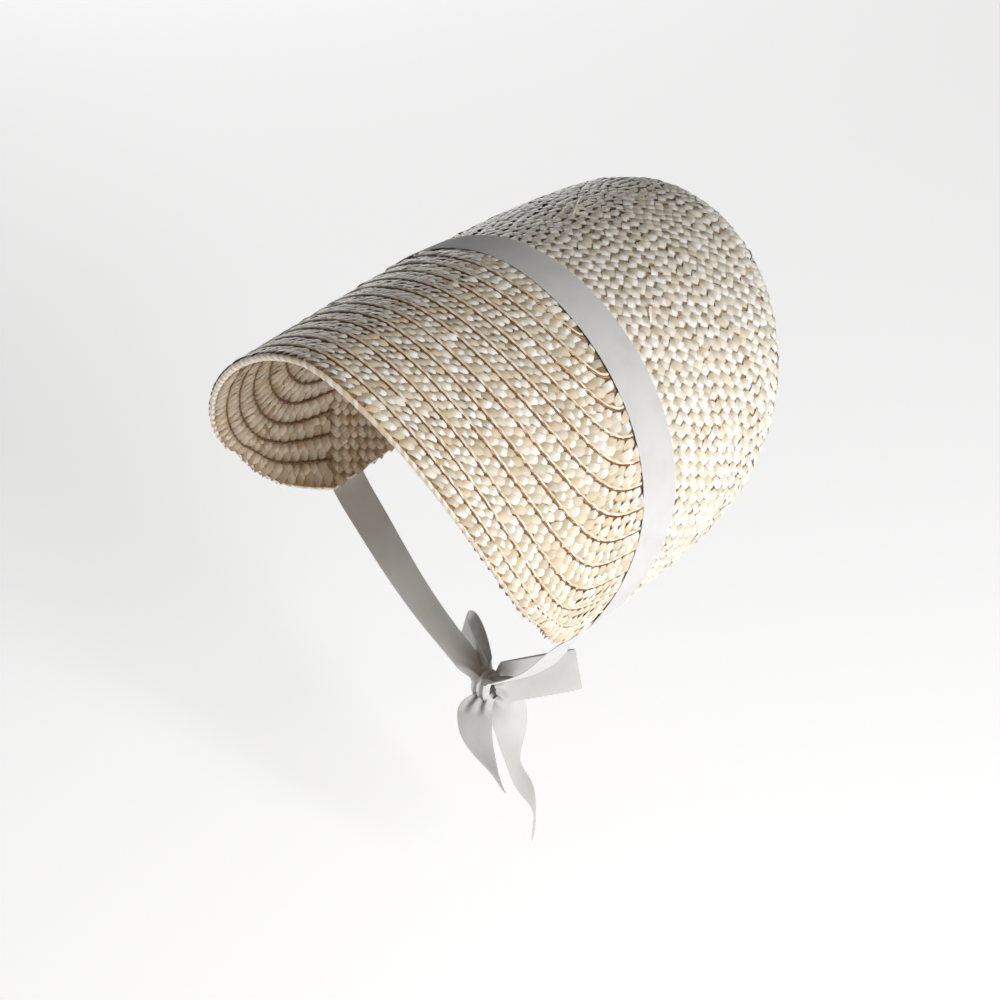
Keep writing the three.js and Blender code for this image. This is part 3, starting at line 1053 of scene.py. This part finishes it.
@dataclass
class Brim:
    """The brim: rows of plait, each lying over the one in front of it, dark cords of painted shadow at their
    seams, and a folded edge.

    Its own places across a row are shares of the row, and its heights over the skin are in millimetres.
    """

    form: BonnetForm
    straw: Material
    fold: Material
    seam_shadow: Material
    shade: Material
    lining: Material
    core: Material
    columns: tuple[Column, ...] = (Column(0.33, 27, 0.0), Column(0.73, 27, 0.5))
    closing: tuple[Column, ...] = (Column(1.0, 27, 0.25),)
    margin: float = 0.7 * MM
    inner_columns: tuple[Column, ...] = (Column(0.39, 52, 0.0), Column(0.75, -52, 0.5))
    inner_splint: Splint = Splint(length=6.2 * MM, width=5.2 * MM, crest=0.36 * MM, camber=0.2 * MM,
                                  along_steps=4, across_steps=2)
    inner_lift: float = 0.55 * MM
    inner_margin: float = 3.6 * MM
    inner_uneven: Unevenness = Unevenness(roll=4, height=0.06 * MM)
    lip: FoldedEdge = FoldedEdge(0.85 * MM, 0.5 * MM, ridge=0.08, ridge_pitch=7 * MM, around=6)
    lip_forward: float = 0.09
    lip_height: float = 1.25
    # Dark cord of painted shadow just in front of each row's lip
    shadow_cord: FoldedEdge = FoldedEdge(0.34 * MM, 0.3 * MM, ridge=0.3, ridge_pitch=2.8 * MM, around=5)
    seam_back: float = 0.04
    seam_height: float = 0.85
    # Dark cord of painted shade between the rows inside
    tooth: FoldedEdge = FoldedEdge(0.75 * MM, 0.3 * MM, ridge=0.45, ridge_pitch=3.1 * MM, around=5)
    tooth_height: float = 0.85
    binding: FoldedEdge = FoldedEdge(1.1 * MM, 1.8 * MM, ridge=0.07, ridge_pitch=5.6 * MM)
    binding_rise: float = 0.3
    edge_step: float = 0.9 * MM
    fineness: int = 1500

    def skin(self, inside: bool) -> Skin:
        """The brim's skin, counted in rows of plait.

        Args:
            inside: whether it is the inner skin.

        Returns:
            The skin.
        """
        rows = self.form.brim_rows
        depth = self.form.wall * MM if inside else 0.0
        return Skin(lambda a, b: self.form.brim(a, b / rows), rows, depth=depth, inside=inside)

    def edge(self, skin: Skin, row: float, height: float) -> Line:
        """Line across the skin at one place in the rows, its points evenly spaced and raised by a height.

        Args:
            skin: the skin.
            row: the place in the rows.
            height: how far it lies over the skin.

        Returns:
            Points, sideways directions and normals.
        """
        a = np.linspace(-1, 1, self.fineness)
        run = distances(skin.point(a, np.full(self.fineness, row)))
        a = np.interp(np.arange(0, run[-1], self.edge_step), run, a)
        place, _, step, normal = skin.frames(a, np.full(len(a), row))
        return place + normal * height, unit(step), normal

    def edges(self, shift: float, height: float, inside: bool = False) -> list[Line]:
        """Lines beside the front edge of every row but the first.

        Args:
            shift: how far each line lies from the edge towards the crown, as a share of a row.
            height: how far it lies over the skin, in millimetres.
            inside: whether the lines lie on the inner skin.

        Returns:
            Points, sideways directions and normals of each line.
        """
        skin = self.skin(inside)
        return [self.edge(skin, row + shift, height * MM) for row in range(1, self.form.brim_rows)]

    def build(self) -> list[Piece]:
        """Builds the rows on both sides, their lips, dark cords of painted shadow at the seams and the rim's
        edge, and dresses the shell.

        Returns:
            The new objects.
        """
        dress(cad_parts["brim"], self.core)
        outer = Plait(self.skin(False), self.columns, slope=self.form.plait_lip * MM, margin=self.margin,
                      closing=self.closing, seed=11)
        inner = Plait(self.skin(True), self.inner_columns, self.inner_splint, lift=self.inner_lift,
                      margin=self.inner_margin, uneven=self.inner_uneven, seed=12)
        lips = self.edges(self.lip_forward, self.lip_height)
        # Cords along these lines are dark straw that stands for the shadow under each lip and between the
        # inner rows: painted shadow
        seams = self.edges(-self.seam_back, self.seam_height)
        inner_seams = self.edges(self.seam_back, self.tooth_height, inside=True)
        rim = self.edge(self.skin(False), 0.0, (self.binding_rise - self.form.wall / 2) * MM)
        return [
            outer.build("brim_plait_outside", self.straw, Slot.BRIM),
            inner.build("brim_plait_inside", self.lining, Slot.BRIM),
            self.lip.build("brim_plait_lips", lips, self.fold, Slot.BRIM),
            self.shadow_cord.build("brim_seam_shadows", seams, self.seam_shadow, Slot.BRIM),
            self.tooth.build("brim_inner_seam_shadows", inner_seams, self.shade, Slot.BRIM),
            self.binding.build("brim_rim_edge", [rim], self.fold, Slot.BRIM, seed=31),
        ]


@dataclass
class Crown:
    """The crown: a side of flush-sewn plait, and a tip whose rows close like a horseshoe.

    The side's splints end at the run side_end, and its rows are held at side_limit. border_steps are the
    lower edge's points along side, edge and tip. Inside, hidden_inner_rows more rows go on under the ribbon.
    """

    form: BonnetForm
    straw: Material
    lining: Material
    core: Material
    under_ribbon: float = 19.5 * MM
    row_width: float = 6.47 * MM
    side_rows: int = 19
    side_end: float = 1.02
    side_limit: float = 1.2
    edge_rows: int = 3
    tip_rows: int = 13
    hidden_inner_rows: int = 3
    columns: tuple[Column, ...] = (Column(0.25, 45, 0.0), Column(0.75, -45, 0.5))
    fold_column: tuple[Column, ...] = (Column(1.0, 4, 0.25),)
    splint: Splint = Splint(length=6.6 * MM, width=4.5 * MM, crest=0.68 * MM, camber=0.34 * MM,
                            along_steps=5)
    binding: FoldedEdge = FoldedEdge(1.1 * MM, 1.8 * MM, ridge=0.1, ridge_pitch=5.0 * MM)
    border_steps: tuple[int, ...] = (70, 24, 90)

    def side_run(self, a: Array, b: Array) -> Array:
        """Run of a side row, whose distance from the junction is the same all along it."""
        return (self.under_ribbon + b * self.row_width) / self.form.side_length(a)

    def side_skin(self, inside: bool) -> Skin:
        """The crown's side, its rows level with the ribbon, and a little of the rounded edge.

        Args:
            inside: whether it is the inner skin.

        Returns:
            The skin.
        """
        depth = self.form.wall * MM if inside else 0.0
        return Skin(lambda a, b: self.form.crown(a, np.minimum(self.side_run(a, b), self.side_limit)),
                    self.side_rows, depth=depth, inside=inside)

    def tip_skin(self, inside: bool) -> Skin:
        """The crown's rounded edge and its tip, its rows level with the edge.

        Args:
            inside: whether it is the inner skin.

        Returns:
            The skin.
        """
        depth = self.form.wall * MM if inside else 0.0

        def point(a: Array, b: Array) -> Array:
            """The first rows share the rounding, and the others the tip."""
            on_edge = 1 + b / self.edge_rows
            on_tip = 2 + (b - self.edge_rows) / self.tip_rows
            return self.form.crown(a, np.where(b <= self.edge_rows, on_edge, on_tip))

        return Skin(point, self.edge_rows + self.tip_rows, depth=depth, inside=inside)

    def on_side(self, a: Array, b: Array) -> Array:
        """Tells which splints still lie on the side."""
        return self.side_run(a, b) < self.side_end

    def on_one_half(self, a: Array, b: Array) -> Array:
        """Keeps the fold's own splints once, as both halves of the tip meet there."""
        just_before = 0.01
        return (b < self.edge_rows + self.tip_rows - just_before) | (a > 0)

    def lower_edge(self) -> Line:
        """The border from one end of the ribbon, under the nape, to the other.

        Returns:
            Points, sideways directions and normals.
        """
        stretches = [np.linspace(place, place + 1, steps)[min(place, 1):]
                     for place, steps in enumerate(self.border_steps)]
        run = np.concatenate(stretches)
        skin = Skin(self.form.crown, len(self.border_steps))
        halves = []
        for end in (1.0, -1.0):
            place, along, _, normal = skin.frames(np.full(len(run), end), run)
            halves.append((place - normal * (self.form.wall / 2 * MM), along * end, normal))
        middle, sideways, outwards = (np.concatenate([one, other[::-1][1:]]) for one, other in zip(*halves))
        return middle, sideways, outwards

    def build(self) -> list[Piece]:
        """Builds side and tip outside and inside, with the lower edge, and dresses the shell.

        Returns:
            The new objects.
        """
        dress(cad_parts["crown"], self.core)
        plain = replace(self.splint, along_steps=4, across_steps=2)
        pieces = []
        for inside, word, finish, splint in ((False, "outside", self.straw, self.splint),
                                             (True, "inside", self.lining, plain)):
            size = {"splint": splint, "pitch": self.row_width, "row_width": self.row_width}
            side = Plait(self.side_skin(inside), self.columns, keep=self.on_side, seed=21 + inside,
                         first_row=-self.hidden_inner_rows * inside, **size)
            tip = Plait(self.tip_skin(inside), self.columns, keep=self.on_one_half, seed=23 + inside,
                        closing=self.fold_column, **size)
            pieces.append(side.build(f"crown_side_{word}", finish, Slot.CROWN))
            pieces.append(tip.build(f"crown_tip_{word}", finish, Slot.CROWN))
        border = [self.lower_edge()]
        pieces.append(self.binding.build("crown_lower_edge", border, self.straw, Slot.CROWN, seed=41))
        return pieces


@dataclass(frozen=True)
class LooseEnd:
    """A straw's end that has come out of the crown: where it leaves, how long it is and how it leans."""

    around: float
    run: float
    length: float
    turn: float
    rise: float


@dataclass
class LooseEnds:
    """Short bent ends of straw that stand out of the weave. Their lengths are in millimetres."""

    form: BonnetForm
    straw: Material
    ends: tuple[LooseEnd, ...] = (
        LooseEnd(-0.055, 0.53, 11.0, 20, 40),
        LooseEnd(-0.07, 0.55, 10.0, 60, 50),
        LooseEnd(-0.045, 0.5, 11.0, 110, 38),
        LooseEnd(-0.08, 0.51, 8.0, -40, 44),
        LooseEnd(0.315, 0.34, 8.0, 160, 28),
        LooseEnd(-0.52, 0.62, 7.5, 60, 30),
        LooseEnd(0.1, 2.4, 6.5, 100, 32),
    )
    bend: float = 0.35
    lift: float = 0.6
    rings: int = 10
    blade: FoldedEdge = FoldedEdge(0.7 * MM, 0.3 * MM, ridge=0.05, ridge_pitch=9 * MM, around=6)

    def build(self) -> list[Piece]:
        """Builds each end as a thin tube that bends back, its height over the skin quadratic in its run.

        Returns:
            The one piece that holds them all.
        """
        skin = Skin(self.form.crown, 3)
        lines = []
        for end in self.ends:
            place, along, _, normal = skin.frames(np.array([end.around]), np.array([end.run]))
            turn, rise = math.radians(end.turn), math.tan(math.radians(end.rise))
            way = along * math.cos(turn) + np.cross(normal, along) * math.sin(turn)
            share = np.linspace(0, 1, self.rings)[:, None]
            out = (share - self.bend * share**2) * rise
            middle = place + (way * share + normal * out) * end.length * MM + normal * self.lift * MM
            across, outwards = (np.repeat(v, self.rings, axis=0) for v in (np.cross(way, normal), normal))
            lines.append((middle, across, outwards))
        return [self.blade.build("crown_loose_ends", lines, self.straw, Slot.CROWN, seed=51)]


def dress(node: Piece, finish: Material) -> None:
    """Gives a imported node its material."""
    node.data.materials.clear()
    node.data.materials.append(finish)


# Ribbon


@dataclass(frozen=True)
class TailStation:
    """Where a tail passes, as shares of its length from the knot, and how far it has turned, in degrees."""

    side: float
    back: float
    down: float
    turn: float


@dataclass
class Ribbon:
    """Cotton tape round the crown, down both sides and into a bow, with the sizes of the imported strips.

    Sizes are in millimetres. A splay and a forward are parts aside and forward beside one part up or down.
    band_edges are the band's two edges, as shares of the tape's width from the junction with their heights
    over the crown. wrap is in half turns. A tie leaves the band along its last tie_leaving steps.
    """

    form: BonnetForm
    finish: Material
    tape: Tape = Tape()
    band_end: float = 0.985
    band_edges: tuple[tuple[float, float], ...] = ((0.02, 1.7), (0.98, 1.1))
    knot_centre: tuple[float, float, float] = (4.0, -27.0, -250.0)
    knot_half: tuple[float, float, float] = (6.5, 6.0, 7.5)
    clearance: float = 0.3
    wrap: tuple[float, float] = (-0.25, 2.25)
    wrap_growth: float = 0.05
    tie_belly: float = 7.0
    tie_bend_share: float = 0.22
    tie_sag_share: float = 0.6
    tie_splay: float = 0.28
    tie_forward: float = 0.35
    tie_sink: float = 1.5
    tie_facing: tuple[float, float, float] = (0.35, 0.9, -0.1)
    tie_leaving: int = 5
    loop_length: float = 43.0
    loop_opening: float = 8.0
    loop_fullness: float = 2.6
    loop_closing: float = 0.87
    loop_sink: float = 3.0
    loop_aims: dict[Side, tuple[tuple[float, float, float], float]] = field(default_factory=lambda: {
        Side.LEFT: ((0.62, 0.72, 0.16), -30.0),
        Side.RIGHT: ((-0.82, 0.5, 0.1), 12.0),
    })
    tail_splay: float = 0.12
    tail_forward: float = 0.4
    tail_sink: float = 2.0
    tail_cup: float = 0.6
    tails: dict[Side, tuple[float, tuple[TailStation, ...]]] = field(default_factory=lambda: {
        Side.LEFT: (62.0, (
            TailStation(0.0, 0.0, 0.0, 8),
            TailStation(0.02, -0.14, 0.08, 12),
            TailStation(0.08, -0.2, 0.28, 8),
            TailStation(0.17, -0.16, 0.56, -8),
            TailStation(0.27, -0.08, 0.8, -26),
        )),
        Side.RIGHT: (96.0, (
            TailStation(0.0, 0.0, 0.0, 20),
            TailStation(0.08, 0.06, 0.14, 80),
            TailStation(0.2, 0.02, 0.48, 124),
            TailStation(0.26, 0.1, 0.7, 134),
            TailStation(0.27, 0.1, 0.92, 128),
        )),
    })
    band_steps: int = 260
    tie_steps: int = 110
    loop_steps: int = 120
    tail_steps: int = 90

    def knot_skin(self, direction: tuple[float, float, float]) -> Array:
        """The point on the knot's skin in a direction from its centre, just clear of it.

        Args:
            direction: a direction from the knot's centre.

        Returns:
            The point, in metres.
        """
        way = unit(np.array(direction, float))
        radius = 1 / np.linalg.norm(way / np.array(self.knot_half))
        return (np.array(self.knot_centre) + way * (radius + self.clearance)) * MM

    def band_point(self, around: Array, across: float, lift: float) -> Array:
        """Points over the crown's side at a share of the tape's width from the junction.

        Args:
            around: places round the junction, from -1 to 1.
            across: the share of the width.
            lift: height over the crown, in metres.

        Returns:
            The points, in metres.
        """
        around, across = np.broadcast_arrays(np.asarray(around, float), np.asarray(across, float))
        width, form = self.tape.width, self.form
        skin = Skin(lambda a, b: form.crown(a, b * width / form.side_length(a)), rows=5, low=-1)
        place, _, _, normal = skin.frames(around, across)
        return place + normal * lift

    def long_tape(self) -> Line:
        """Route of the one tape from the knot up the right side, over the crown and down the left one.

        Over the crown it follows the band. Down a side it is a smooth curve through its bend, its sag and
        the knot's top, and its direction across turns from the band's to tie_facing.

        Returns:
            Points, directions across and visible widths.
        """
        a = np.linspace(-self.band_end, self.band_end, self.band_steps)
        front, rear = (self.band_point(a, share, lift * MM) for share, lift in self.band_edges)
        band = (front + rear) / 2, unit(rear - front), np.full(len(a), self.tape.width)
        left, right = (self.tie(side, band[0], band[1]) for side in (Side.LEFT, Side.RIGHT))
        joined = [np.concatenate([up[::-1], over, down]) for up, over, down in zip(right, band, left)]
        return joined[0], joined[1], joined[2]

    def tie(self, side: Side, middle: Array, across: Array) -> Line:
        """Route of one tie from the band's end to the knot, without its first point.

        Args:
            side: the wearer's side.
            middle: points of the band's middle.
            across: directions across the band.

        Returns:
            Points, directions across and visible widths.
        """
        sign = side.value
        end, before = middle[::sign][-1], middle[::sign][-1 - self.tie_leaving]
        leaving = unit(end - before)
        sink, belly = self.tie_sink * MM, self.tie_belly * MM
        knot_top = self.knot_skin((sign * self.tie_splay, -self.tie_forward, 1)) - np.array([0, 0, sink])
        bend = mix(end, knot_top, self.tie_bend_share) + leaving * belly
        sag = mix(end, knot_top, self.tie_sag_share) + np.array([sign * belly / 2, 0, -belly])
        near = knot_top + np.array([sign * self.tape.pinched, 0, self.tape.pinched / 3 + sink])
        route = smooth_route([before, end, bend, sag, near, knot_top], self.tie_steps)
        past = np.linalg.norm(route - end, axis=1).argmin() + 1
        route = route[past:]
        share = np.linspace(0, 1, len(route))[:, None]
        facing = unit(np.array(self.tie_facing) * [sign, 1, 1])
        turned = unit(mix(across[::sign][-1], facing, smoothstep(share, 0, 1)))
        left_to_go = (1 - share[:, 0]) * route_length(route)
        return route, turned, self.tape.pinched_to(left_to_go)

    def loop(self, side: Side) -> Line:
        """Route of a loop: out along its aim, round its end and back behind itself.

        With turn from -1 to 1, it stands out by 1 less a power of turn, and aside by turn times 1 less a
        share of its cube, so that it closes at the knot.

        Args:
            side: the wearer's side.

        Returns:
            Points, directions across and visible widths.
        """
        aim, lean = self.loop_aims[side]
        along = unit(np.array(aim))
        face_across = unit(np.array([0, 0, 1.0]) - along * along[2])
        face_across = np.array(Matrix.Rotation(math.radians(lean), 3, Vector(along)) @ Vector(face_across))
        opening = np.cross(face_across, along) * self.loop_opening * MM
        turn = np.linspace(-1, 1, self.loop_steps)
        aside = turn * (1 - self.loop_closing * np.abs(turn) ** 3)
        root = self.knot_skin(aim) - along * self.loop_sink * MM
        out = (self.loop_length + self.loop_sink) * MM * (1 - np.abs(turn) ** self.loop_fullness)
        middle = root + along * out[:, None] + opening * aside[:, None]
        face = np.tile(face_across, (self.loop_steps, 1))
        return evenly_spaced(middle, self.loop_steps), face, self.tape.pinched_to(out)

    def tail(self, side: Side) -> Line:
        """Route of a tail: a smooth curve through its stations, turning evenly as it falls.

        Args:
            side: the wearer's side.

        Returns:
            Points, directions across and visible widths.
        """
        length, stations = self.tails[side]
        sign = side.value
        root = self.knot_skin((sign * self.tail_splay, -sign * self.tail_forward, -1))
        root = root + np.array([0, 0, self.tail_sink]) * MM
        shares = np.array([[s.side, s.back, -s.down] for s in stations]) * length * MM
        route = smooth_route(list(root + shares), self.tail_steps)
        run = np.linspace(0, 1, self.tail_steps)
        known = np.linspace(0, 1, len(stations))
        angle = np.radians(np.interp(run, known, [s.turn for s in stations]))
        reach = 8
        window = 2 * reach + 1
        angle = np.convolve(np.pad(angle, reach, mode="edge"), np.ones(window) / window, mode="valid")
        across = np.stack([np.cos(angle), np.sin(angle), np.zeros(len(run))], axis=-1)
        return route, across, self.tape.pinched_to(run * length * MM)

    def knot_wrap(self) -> Line:
        """Route of the stretch wound round the knot: a turn and a quarter of an ellipse that widens.

        Returns:
            Points, directions across and visible widths.
        """
        angle = np.pi * np.linspace(*self.wrap, self.loop_steps)
        growth = 1 + self.wrap_growth * (angle - angle[0]) / (2 * np.pi)
        half = np.array(self.knot_half) * MM
        y, z = half[1] * growth * np.cos(angle), half[2] * growth * np.sin(angle)
        middle = np.array(self.knot_centre) * MM + np.stack([np.zeros(len(angle)), y, z], axis=-1)
        return middle, np.tile([1.0, 0, 0], (len(angle), 1)), np.full(len(angle), self.tape.pinched)

    def lay(self, name: str, line: Line, stands_for: list[str],
            cup: float = 0.0) -> Piece:
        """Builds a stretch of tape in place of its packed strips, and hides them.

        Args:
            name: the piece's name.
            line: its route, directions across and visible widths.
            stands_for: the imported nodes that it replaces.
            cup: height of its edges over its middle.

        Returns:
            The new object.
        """
        piece = self.tape.build(name, line, self.finish, cup)
        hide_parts(*stands_for)
        return piece

    def build(self) -> list[Piece]:
        """Lays the long tape, both loops, both tails and the knot.

        Returns:
            The new objects.
        """
        pieces = [self.lay("ribbon_round_crown", self.long_tape(), ["ribbon_band", "tie_left", "tie_right"])]
        for side in Side:
            word = side.name.lower()
            pieces.append(self.lay(f"ribbon_loop_{word}", self.loop(side), [f"bow_loop_{word}"]))
            pieces.append(self.lay(f"ribbon_tail_{word}", self.tail(side), [f"tail_{word}"],
                                   self.tail_cup * MM))
        pieces.append(self.lay("ribbon_knot", self.knot_wrap(), ["bow_knot"]))
        return pieces


# Camera, lights, floor and room


def bearing(azimuth: float, elevation: float) -> Array:
    """Unit direction from the bonnet, in degrees: azimuth 0 is its front and 90 the wearer's left."""
    a, e = math.radians(azimuth), math.radians(elevation)
    return np.array([math.sin(a) * math.cos(e), -math.cos(a) * math.cos(e), math.sin(e)])


@dataclass(frozen=True)
class Lamp:
    """A square area light: its direction and distance from the bonnet, its size, power and colour."""

    name: str
    azimuth: float
    elevation: float
    distance: float
    size: float
    power: float
    colour: tuple[float, float, float]

    def build(self, target: Vector) -> None:
        """Makes the light and turns it to the target.

        Args:
            target: the point that it lights.
        """
        way = Vector(bearing(self.azimuth, self.elevation))
        data = bpy.data.lights.new(self.name, "AREA")
        data.size, data.energy, data.color = self.size, self.power, self.colour
        lamp = bpy.data.objects.new(self.name, data)
        lamp.location = target + way * self.distance
        lamp.rotation_mode = "QUATERNION"
        lamp.rotation_quaternion = way.to_track_quat("Z", "Y")
        bpy.context.scene.collection.objects.link(lamp)


@dataclass(frozen=True)
class Studio:
    """Camera, floor, soft lights and room. The camera stands as far and as high as the photograph's.

    Lengths are in metres. The room shines room_light up to the horizon and room_dark from room_top upward,
    both as the z of a unit direction.
    """

    target: tuple[float, float, float] = (0.0, -0.063, -0.151)
    azimuth: float = 45.44
    elevation: float = 33.79
    distance: float = 1.3
    image_side: float = 1000.0
    target_pixel: tuple[float, float] = (435.5, 555.8)
    pixels_per_metre: float = 1950.0
    sensor: float = 36.0
    clip: tuple[float, float] = (0.05, 50.0)
    floor_height: float = -0.42
    floor_side: float = 60.0
    floor_colour: tuple[int, int, int] = (236, 236, 238)
    floor_roughness: float = 0.9
    floor_glow: float = 0.6
    room_colour: tuple[float, float, float, float] = (1.0, 0.955, 0.885, 1.0)
    room_light: float = 0.52
    room_dark: float = 0.05
    horizon: float = 0.02
    room_top: float = 0.42
    lamps: tuple[Lamp, ...] = (
        Lamp("key", 82, 22, distance=1.9, size=0.7, power=29, colour=(1.0, 0.995, 0.99)),
        Lamp("front", 15, 4, distance=2.2, size=1.1, power=1.5, colour=(0.96, 0.98, 1.0)),
        Lamp("back", 235, 5, distance=2.4, size=1.2, power=9, colour=(1.0, 1.0, 1.0)),
    )

    def camera(self) -> None:
        """Camera that shows the target at its pixel: it looks along the ray of the picture's middle."""
        turn = math.radians(self.azimuth)
        back = bearing(self.azimuth, self.elevation)
        right = np.array([math.cos(turn), math.sin(turn), 0.0])
        up = np.cross(back, right)
        focal = self.pixels_per_metre * self.distance
        middle = self.image_side / 2
        ray = -back * focal + right * (middle - self.target_pixel[0]) + up * (self.target_pixel[1] - middle)
        new_back = -unit(ray)
        new_right = unit(right - new_back * (right @ new_back))
        new_up = np.cross(new_back, new_right)
        data = bpy.data.cameras.new("camera")
        data.lens = focal / self.image_side * self.sensor
        data.sensor_width = self.sensor
        data.clip_start, data.clip_end = self.clip
        camera = bpy.data.objects.new("camera", data)
        rotation = Matrix(np.stack([new_right, new_up, new_back], axis=-1).tolist()).to_4x4()
        place = np.array(self.target) + back * self.distance
        camera.matrix_world = Matrix.Translation(Vector(place)) @ rotation
        bpy.context.scene.collection.objects.link(camera)
        bpy.context.scene.camera = camera

    def floor(self) -> None:
        """A plain pale floor far below, as the bonnet is held up."""
        half = self.floor_side / 2
        corners = [(x * half, y * half, self.floor_height) for x, y in ((-1, -1), (1, -1), (1, 1), (-1, 1))]
        mesh = bpy.data.meshes.new("floor")
        mesh.from_pydata(corners, [], [(0, 1, 2, 3)])
        material, nodes, shader = new_material("pale_floor")
        nodes.feed(shader, {
            "Base Color": rgb(*self.floor_colour),
            "Roughness": self.floor_roughness,
            "Emission Color": (1.0, 1.0, 1.0, 1.0),
            "Emission Strength": self.floor_glow,
        })
        mesh.materials.append(material)
        floor = bpy.data.objects.new("floor", mesh)
        bpy.context.scene.collection.objects.link(floor)

    def room(self) -> None:
        """World whose light falls off smoothly from the horizon to its dark top."""
        world = bpy.data.worlds.new("studio")
        world.use_nodes = True
        nodes = Nodes(world.node_tree)
        way = nodes.add("ShaderNodeTexCoord").outputs["Generated"]
        height = nodes.add("ShaderNodeSeparateXYZ", {0: way}).outputs["Z"]
        nodes.feed(world.node_tree.nodes["Background"], {
            "Color": self.room_colour,
            "Strength": nodes.range(height, self.horizon, self.room_top, self.room_light, self.room_dark),
        })
        bpy.context.scene.world = world

    def build(self) -> None:
        """Sets the camera, the floor, the lights and the room."""
        self.camera()
        self.floor()
        for lamp in self.lamps:
            lamp.build(Vector(self.target))
        self.room()
        bpy.context.scene.view_settings.view_transform = "Standard"


def main() -> None:
    """Builds the straw, the ribbon and the studio in order, and reports each piece."""
    logging.basicConfig(level=logging.INFO, format="%(name)s: %(message)s")
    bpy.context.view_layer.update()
    form = BonnetForm()
    split_straw = SplitStraw().build()
    # Each straw finish holds a colour of painted shade for the splints' roots and sides, and one of painted
    # glint for their ends
    brim_straw, crown_straw, folded, lining = (finish.build(split_straw) for finish in (
        StrawFinish("brim_straw", pale=(243, 236, 221), deep=(219, 200, 168), cool=(190, 182, 158),
                    painted_shade=(182, 148, 106), gleam=(254, 253, 252)),
        StrawFinish("crown_straw", pale=(243, 238, 227), deep=(222, 209, 185), cool=(208, 203, 188),
                    painted_shade=(194, 172, 140), gleam=(253, 252, 251)),
        StrawFinish("folded_straw", pale=(242, 232, 214), deep=(222, 200, 168), cool=(228, 216, 200),
                    painted_shade=(212, 186, 150), gleam=(248, 242, 230)),
        StrawFinish("lining_straw", pale=(208, 190, 164), deep=(182, 156, 122), cool=(188, 178, 160),
                    painted_shade=(112, 74, 42), gleam=(218, 204, 184), coat=0.1),
    ))
    core, crown_core, seam_shadow, shade = (finish.build() for finish in (
        CoreFinish("shaded_straw", light=(186, 156, 118), dark=(136, 104, 70)),
        CoreFinish("shaded_crown_straw", light=(196, 172, 138), dark=(146, 118, 86)),
        # Dark straw for the cords of painted shadow along the brim's seams
        CoreFinish("seam_shadow_straw", light=(164, 120, 76), dark=(116, 78, 44)),
        CoreFinish("shaded_seam_straw", light=(146, 108, 70), dark=(92, 62, 36)),
    ))
    weave = TapeWeave().build()
    cotton = TapeFinish("cotton_tape", light=(210, 210, 209), worn=(197, 196, 192)).build(weave)
    parts = {
        "brim": Brim(form, brim_straw, folded, seam_shadow, shade, lining, core),
        "crown": Crown(form, crown_straw, lining, crown_core),
        "ends": LooseEnds(form, folded),
        "ribbon": Ribbon(form, cotton),
    }
    for name, part in parts.items():
        for piece in part.build():
            piece.data.calc_loop_triangles()
            log.info("%s: %s, %d triangles", name, piece.name, len(piece.data.loop_triangles))
    Studio().build()


if __name__ == "__main__":
    main()
